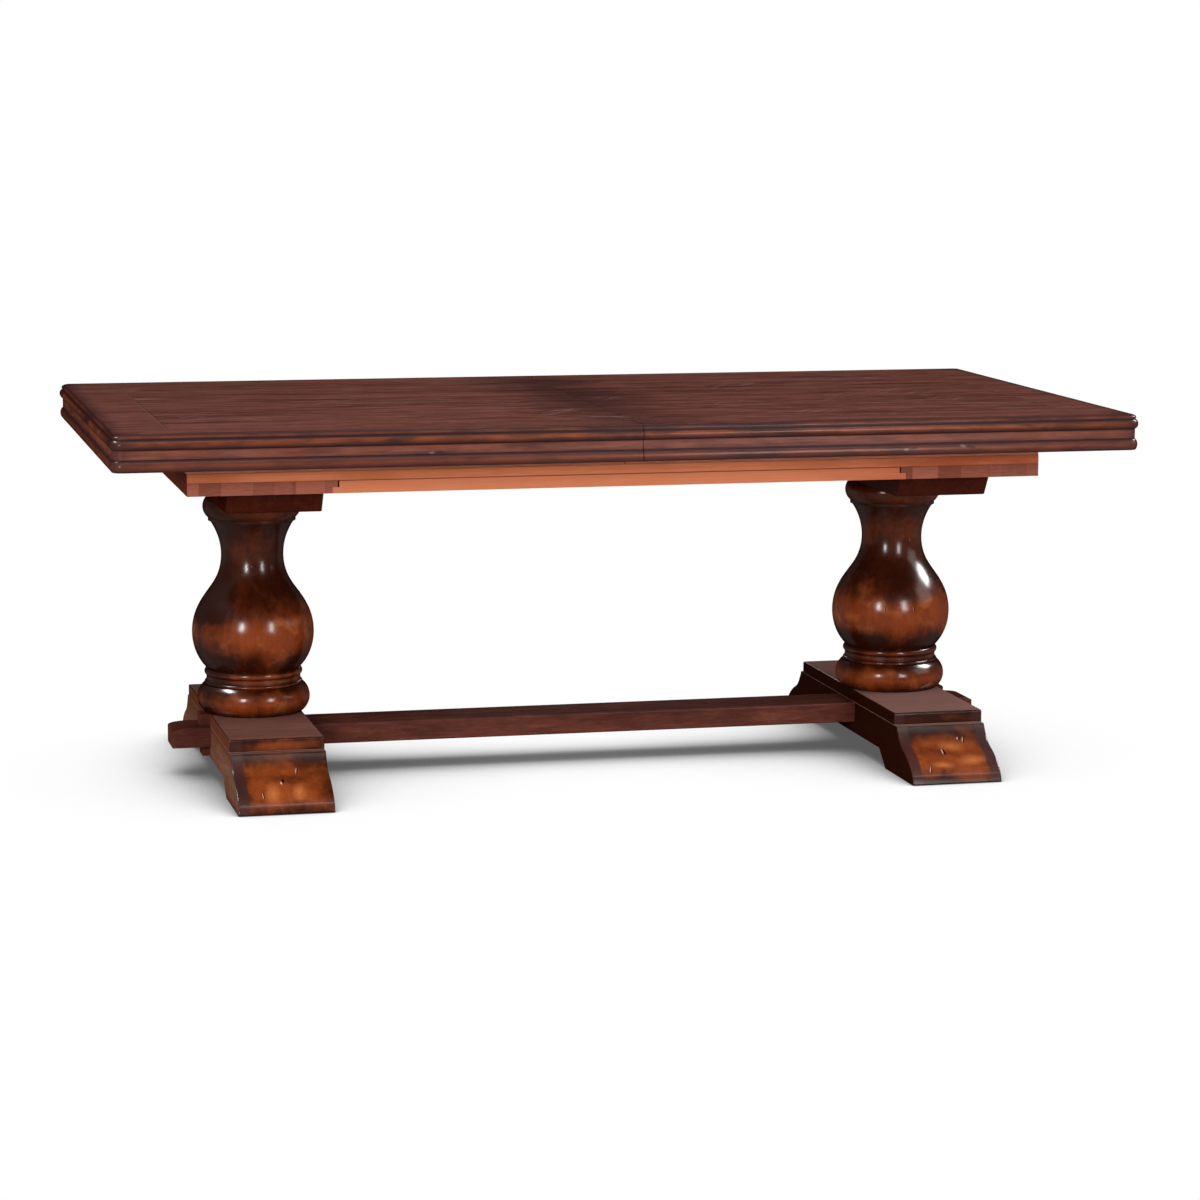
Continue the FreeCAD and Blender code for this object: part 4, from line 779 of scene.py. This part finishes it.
def finish_feet(looks):
    """Feet: amber end faces between dark strips, dull platform, brown sides."""
    finish = Finish("foot_wood", 0.42)
    graph = finish.graph
    local = graph.minus(graph.absolute(finish.x), PEDESTAL_X)
    from_side = graph.minus(FOOT_HALF_WIDTH, graph.absolute(local))
    level = graph.smooth(finish.facing[2], 0.93, 0.99)
    upper = graph.times(level, graph.smooth(finish.z, LEDGE_Z + 0.005, LEDGE_Z + 0.01, 0.75, 1.0))
    flank = graph.smooth(finish.facing[0], 0.8, 0.95)
    ends = graph.times(graph.minus(1.0, level), graph.minus(1.0, flank))
    clouds = finish.patches(17.0, low=0.35, high=0.7)
    grain = finish.grain(finish.along("Z"), finish.sided(12.0), looks.brown, looks.amber,
                         figure=1.3, contrast=0.45, fibre=0.5)
    colour = foot_face_colour(finish, looks, grain, from_side, clouds)
    strip = finish.edge(from_side, looks.strip_width, softness=0.12, ragged=0.22, scale=40.0)
    crisp = graph.larger(finish.side, graph.math("GREATER_THAN", local, 0.0))
    below_ledge = graph.smooth(finish.z, LEDGE_Z - 0.001, LEDGE_Z + 0.001, 0.85, 0.5)
    colour = graph.mix(graph.times(graph.times(strip, crisp), below_ledge), colour, STRIP_DARK)
    long_grain = finish.grain(finish.along("X"), finish.sided(15.0), PLATFORM_DARK, looks.dull,
                              figure=1.0, contrast=0.35)
    # Painted sheen: the right foot's platform top is paler
    level_colour = graph.mix(graph.times(finish.side, 0.45), long_grain["Color"], PLATFORM_SHEEN)
    colour = graph.mix(upper, colour, level_colour)
    colour = graph.mix(flank, colour, foot_flank_colour(finish, looks, local, clouds))
    # Painted shade in each dent and a painted highlight on its left lip
    hollow, lit_lip = finish.marks(FOOT_DENTS)
    colour = graph.mix(graph.times(hollow, ends), colour, looks.burnish_and_shade)
    colour = graph.mix(graph.times(graph.times(lit_lip, ends), 0.7), colour, DENT_HIGHLIGHT)
    # Painted highlight: a thin pale line along the ledge's arris
    from_ledge = graph.absolute(graph.minus(finish.z, LEDGE_Z))
    painted_ledge_highlight = graph.times(graph.smooth(from_ledge, 0.0002, 0.0008, 0.5, 0.0), graph.minus(1.0, level))
    finish.colour(graph.mix(painted_ledge_highlight, colour, LEDGE_HIGHLIGHT))
    finish.lacquer(graph.smooth(flank, 0.0, 1.0, 0.42, 0.03), 0.22)
    finish.relief(graph.minus(graph.times(grain["Height"], 0.1), hollow), 0.4, 0.0012)


def finish_bars(slot, axis, dark, light, roughness, coat, seed):
    """Plain stained bars: bolsters, stretcher, wedges and slides."""
    finish = Finish(slot, roughness)
    graph = finish.graph
    grain = finish.grain(finish.along(axis), seed, dark, light, figure=1.2, contrast=0.7)
    clouds = finish.patches(9.0, low=0.4, high=0.75)
    colour = graph.mix(graph.times(clouds, 0.5), grain["Color"], dark)
    end_face = graph.smooth(finish.facing["XYZ".index(axis)], 0.9, 0.98, 0.0, 0.35)
    finish.colour(graph.mix(end_face, colour, light))
    finish.lacquer(coat, 0.25)
    finish.relief(grain["Height"], 0.2)


# Materials of the slide frame

def finish_rails(looks):
    """Side, mid and end rails in thin orange stain, darker towards both ends, with painted shade on the end
    faces.
    """
    finish = Finish("rail_wood", 0.6)
    graph = finish.graph
    dark = tint(looks.rail, 0.62, 0.55, 0.5)
    grain = finish.grain(finish.along("X"), graph.times(finish.z, 3.0), dark, looks.rail,
                         figure=1.6, contrast=0.9)
    clouds = finish.patches(6.0, low=0.4, high=0.75, squeeze=2.0)
    lower = graph.smooth(finish.z, PLANK_TOP - 0.001, PLANK_TOP, 0.55, 0.0)
    colour = graph.mix(lower, grain["Color"], LOWER_RAIL)
    above = graph.smooth(finish.z, PLANK_TOP - 0.001, PLANK_TOP, 0.25, 0.8)
    colour = graph.mix(graph.times(clouds, above), colour, dark)
    right_end = graph.smooth(finish.x, 0.3, 0.7, 0.0, 0.85)
    left_end = graph.smooth(finish.x, -0.86, -0.7, 0.4, 0.0)
    ragged = graph.noise(graph.scaled(finish.vector, (7.0, 7.0, 40.0)), 1.0, 4.0, 0.65)
    darker_ends = graph.times(graph.larger(right_end, left_end), graph.smooth(ragged, 0.3, 0.6, 0.45, 1.0))
    colour = graph.mix(darker_ends, colour, tint(looks.rail, 0.42, 0.28, 0.26))
    from_lap = graph.absolute(graph.minus(finish.z, PLANK_TOP))
    colour = graph.mix(graph.smooth(from_lap, 0.0005, 0.0014, 0.8, 0.0), colour, LAP_DARK)
    # Painted shade on the faces towards the table's ends, over the side rails' end grain
    end_face = graph.smooth(finish.facing[0], 0.6, 0.8, 0.0, 0.92)
    finish.colour(graph.mix(end_face, colour, END_FACE_SHADE))
    finish.relief(grain["Height"], 0.3)


def finish_planks(looks):
    """Cross planks glued from blocks: end grain on their ends."""
    finish = Finish("plank_wood", 0.6)
    graph = finish.graph
    light = looks.plank
    dark = tint(light, 0.5, 0.45, 0.42)
    wander = graph.noise(graph.join(finish.x, 0.0, 0.0), 14.0, 1.0)
    across = graph.plus(finish.x, graph.times(wander, 0.09))
    blocks = graph.group("glued_boards", across=across, width=looks.block_width, seed=5.0)
    grain = finish.grain(finish.along("Y"), blocks["Shift"], dark, light, figure=1.0, contrast=0.6)
    raised = graph.moved(finish.vector, (0.0, 0.0, 1.0))
    rings = graph.noise(graph.scaled(raised, (60.0, 1.0, 700.0)), 1.0, 2.0)
    end_colour = graph.mix(graph.smooth(rings, 0.35, 0.7, 0.0, 0.5), light, dark)
    colour = graph.mix(graph.smooth(finish.facing[1], 0.6, 0.8), grain["Color"], end_colour)
    pale = graph.smooth(blocks["Tone"], 0.5, 1.0, 0.0, 0.6)
    colour = graph.mix(pale, colour, tint(light, 1.3, 1.25, 1.15))
    colour = graph.mix(graph.smooth(blocks["Tone"], 0.0, 0.45, 0.55, 0.0), colour, dark)
    colour = graph.mix(graph.times(blocks["Joint"], 0.5), colour, dark)
    # Painted shade on the planks' faces towards the table's ends
    outer_edge = graph.smooth(finish.facing[0], 0.6, 0.8, 0.0, 0.9)
    finish.colour(graph.mix(outer_edge, colour, tint(dark, 1.05, 0.8, 0.7)))
    finish.relief(grain["Height"], 0.3)


def finish_slides(looks):
    """Bearers, runners, battens and pins, left nearly raw."""
    for slot, share, seed in (("slide_wood", 0.8, 20.0), ("pin_beech", 1.1, 24.0)):
        light = tint(looks.rail, share, share * 1.05, share * 1.3)
        dark = tint(light, 0.6, 0.55, 0.55)
        finish_bars(slot, "X", dark, light, roughness=0.6, coat=0.1, seed=seed)


def finish_metal(slot, colour, roughness):
    """Plated steel and brass with fine drawn lines and dull spots."""
    finish = Finish(slot, roughness, specular=0.5)
    graph = finish.graph
    finish.shader.inputs["Metallic"].default_value = 1.0
    lines = graph.noise(graph.scaled(finish.vector, (40.0, 40.0, 900.0)), 1.0, 2.0)
    spots = finish.patches(120.0, low=0.45, high=0.7)
    finish.colour(graph.mix(graph.times(spots, 0.6), colour, tint(colour, 0.55, 0.5, 0.45)))
    finish.gloss(graph.smooth(lines, 0.3, 0.7, roughness - 0.08, roughness + 0.12))


# Stage

def seen_ray(graph):
    """1 for rays that show the background: camera, glossy and transmission rays."""
    path = graph.add("ShaderNodeLightPath").outputs
    shown = graph.larger(path["Is Camera Ray"], path["Is Glossy Ray"])
    return graph.larger(shown, path["Is Transmission Ray"])


def background_level(graph, mirrored):
    """White to the eye and through glass, a given level in reflections."""
    path = graph.add("ShaderNodeLightPath").outputs
    direct = graph.larger(path["Is Camera Ray"], path["Is Transmission Ray"])
    return graph.larger(direct, mirrored)


def lay_floor(room):
    """White studio floor that keeps a soft shadow near the table, open from below and under the soles."""
    corners = [(x * FLOOR_REACH, y * FLOOR_REACH, FLOOR_LEVEL)
               for x, y in ((-1, -1), (1, -1), (1, 1), (-1, 1))]
    mesh = bpy.data.meshes.new("studio_floor")
    mesh.from_pydata(corners, [], [(0, 1, 2, 3)])
    floor = bpy.data.objects.new("studio_floor", mesh)
    bpy.context.scene.collection.objects.link(floor)
    material = bpy.data.materials.new("studio_white")
    material.use_nodes = True
    material.node_tree.nodes.clear()
    graph = Graph(material.node_tree)
    bounce = graph.add("ShaderNodeBsdfDiffuse", {"Color": FLOOR_GREY})
    open_sky = graph.add("ShaderNodeAmbientOcclusion", {"Distance": SHADOW_REACH}, samples=16).outputs["AO"]
    lit = graph.times(graph.smooth(open_sky, 0.25, 0.99, 0.1, 1.0), background_level(graph, room * 2.0))
    shown = graph.add("ShaderNodeEmission", {"Color": WHITE, "Strength": lit})
    above = graph.mix_shaders(seen_ray(graph), bounce, shown)
    underside = graph.add("ShaderNodeNewGeometry").outputs["Backfacing"]
    ray_length = graph.add("ShaderNodeLightPath").outputs["Ray Length"]
    below = graph.larger(underside, graph.math("LESS_THAN", ray_length, SOLE_GAP))
    surface = graph.mix_shaders(below, above, graph.add("ShaderNodeBsdfTransparent"))
    graph.add("ShaderNodeOutputMaterial", {"Surface": surface.outputs[0]})
    mesh.materials.append(material)


def light_world(ambient, room):
    """White to the eye, a low even light on the table, a dim room with a paler ceiling in reflections."""
    world = bpy.data.worlds.new("studio_world")
    bpy.context.scene.world = world
    world.use_nodes = True
    world.node_tree.nodes.clear()
    graph = Graph(world.node_tree)
    rise = graph.split(graph.add("ShaderNodeTexCoord").outputs["Generated"])["Z"]
    level = background_level(graph, graph.smooth(rise, 0.3, 0.9, room, room * 3.0))
    white = graph.add("ShaderNodeBackground", {"Color": WHITE, "Strength": level})
    even = graph.add("ShaderNodeBackground", {"Color": WHITE, "Strength": ambient})
    surface = graph.mix_shaders(seen_ray(graph), even, white)
    graph.add("ShaderNodeOutputWorld", {"Surface": surface.outputs[0]})


def hang_lamp(name, place, aim, size, power):
    """Soft box at a place, turned towards a point; some show only in the lacquer or only on the stain."""
    lamp = bpy.data.lights.new(name, "AREA")
    lamp.shape = "RECTANGLE"
    lamp.size, lamp.size_y = size
    lamp.energy = power
    holder = bpy.data.objects.new(name, lamp)
    holder.location = place
    holder.visible_diffuse = name not in LACQUER_ONLY
    holder.visible_glossy = name not in STAIN_ONLY
    holder.rotation_euler = (Vector(aim) - Vector(place)).to_track_quat("-Z", "Y").to_euler()
    bpy.context.scene.collection.objects.link(holder)


def place_camera(focal_length):
    """Camera where the photograph was taken from."""
    flat = math.cos(CAMERA_PITCH)
    forward = Vector((math.sin(CAMERA_YAW) * flat, math.cos(CAMERA_YAW) * flat, -math.sin(CAMERA_PITCH)))
    right = Vector((math.cos(CAMERA_YAW), -math.sin(CAMERA_YAW), 0.0))
    up = right.cross(forward)
    across = right * math.cos(CAMERA_ROLL) + up * math.sin(CAMERA_ROLL)
    upward = up * math.cos(CAMERA_ROLL) - right * math.sin(CAMERA_ROLL)
    camera = bpy.data.cameras.new("photo_camera")
    camera.lens = focal_length
    camera.sensor_width = SENSOR_WIDTH
    holder = bpy.data.objects.new("photo_camera", camera)
    turn = Matrix((across, upward, -forward)).transposed().to_4x4()
    holder.matrix_world = Matrix.Translation(CAMERA_PLACE) @ turn
    bpy.context.scene.collection.objects.link(holder)
    bpy.context.scene.camera = holder


# Operators

class TABLE_OT_make_effects(bpy.types.Operator):
    """Make the shared grain, glaze and wear node groups"""
    bl_idname = "table.make_effects"
    bl_label = "Make Shared Effects"

    def execute(self, context):
        make_shared_effects()
        return {"FINISHED"}


class TABLE_OT_dress_top(bpy.types.Operator):
    """Stain the field panels, breadboards, edge strips and aprons"""
    bl_idname = "table.dress_top"
    bl_label = "Dress Top"

    def execute(self, context):
        looks = context.scene.table_top
        finish_field(looks)
        finish_rim_board("breadboard_wood", looks)
        finish_rim_board("edge_wood", looks)
        finish_aprons(looks)
        return {"FINISHED"}


class TABLE_OT_dress_pedestals(bpy.types.Operator):
    """Stain the columns, feet, bolsters, stretcher and wedges"""
    bl_idname = "table.dress_pedestals"
    bl_label = "Dress Pedestals"

    def execute(self, context):
        looks = context.scene.table_pedestals
        finish_columns(looks)
        finish_feet(looks)
        finish_bars("bolster_wood", "Y", looks.burnish_and_shade, BOLSTER_RED, roughness=0.4, coat=0.15, seed=17.0)
        finish_bars("stretcher_wood", "X", STRETCHER_DARK, STRETCHER_RED, roughness=0.4, coat=0.15, seed=19.0)
        return {"FINISHED"}


class TABLE_OT_dress_slide_frame(bpy.types.Operator):
    """Stain the planks, rails, bearers, runners, battens and pins"""
    bl_idname = "table.dress_slide_frame"
    bl_label = "Dress Slide Frame"

    def execute(self, context):
        looks = context.scene.table_slide_frame
        finish_rails(looks)
        finish_planks(looks)
        finish_slides(looks)
        return {"FINISHED"}


class TABLE_OT_dress_hardware(bpy.types.Operator):
    """Plate the bolts, screws and table locks"""
    bl_idname = "table.dress_hardware"
    bl_label = "Dress Hardware"

    def execute(self, context):
        finish_metal("fastener_steel", PLATED_STEEL, roughness=0.35)
        finish_metal("lock_brass", LOCK_BRASS, roughness=0.3)
        return {"FINISHED"}


class TABLE_OT_set_stage(bpy.types.Operator):
    """Lay the floor, hang the lamps and place the camera"""
    bl_idname = "table.set_stage"
    bl_label = "Set Stage"

    def execute(self, context):
        looks = context.scene.table_stage
        lay_floor(looks.room)
        light_world(looks.ambient, looks.room)
        for name, place, aim, size, setting, share in LAMPS:
            hang_lamp(name, place, aim, size, getattr(looks, setting) * share)
        place_camera(looks.focal_length)
        context.scene.view_settings.view_transform = "Standard"
        return {"FINISHED"}


class TABLE_PT_looks(bpy.types.Panel):
    """Table looks in the sidebar"""
    bl_idname = "TABLE_PT_looks"
    bl_label = "Pedestal Table"
    bl_space_type = "VIEW_3D"
    bl_region_type = "UI"
    bl_category = "Table"

    def draw(self, context):
        for operator in OPERATORS:
            self.layout.operator(operator.bl_idname)
        for name, group in SETTINGS.items():
            box = self.layout.box()
            for label in group.__annotations__:
                box.prop(getattr(context.scene, name), label)


SETTINGS = {"table_top": TopLooks, "table_pedestals": PedestalLooks, "table_slide_frame": SlideFrameLooks,
            "table_stage": StageLooks}
OPERATORS = (TABLE_OT_make_effects, TABLE_OT_dress_top, TABLE_OT_dress_pedestals, TABLE_OT_dress_slide_frame,
             TABLE_OT_dress_hardware, TABLE_OT_set_stage)


def register():
    for group in SETTINGS.values():
        bpy.utils.register_class(group)
    for operator in OPERATORS:
        bpy.utils.register_class(operator)
    bpy.utils.register_class(TABLE_PT_looks)
    for name, group in SETTINGS.items():
        setattr(bpy.types.Scene, name, bpy.props.PointerProperty(type=group))


def unregister():
    for name in SETTINGS:
        delattr(bpy.types.Scene, name)
    bpy.utils.unregister_class(TABLE_PT_looks)
    for operator in reversed(OPERATORS):
        bpy.utils.unregister_class(operator)
    for group in reversed(list(SETTINGS.values())):
        bpy.utils.unregister_class(group)


def main():
    register()
    bpy.ops.table.make_effects()
    bpy.ops.table.dress_top()
    bpy.ops.table.dress_pedestals()
    bpy.ops.table.dress_slide_frame()
    bpy.ops.table.dress_hardware()
    bpy.ops.table.set_stage()


if __name__ == "__main__":
    main()
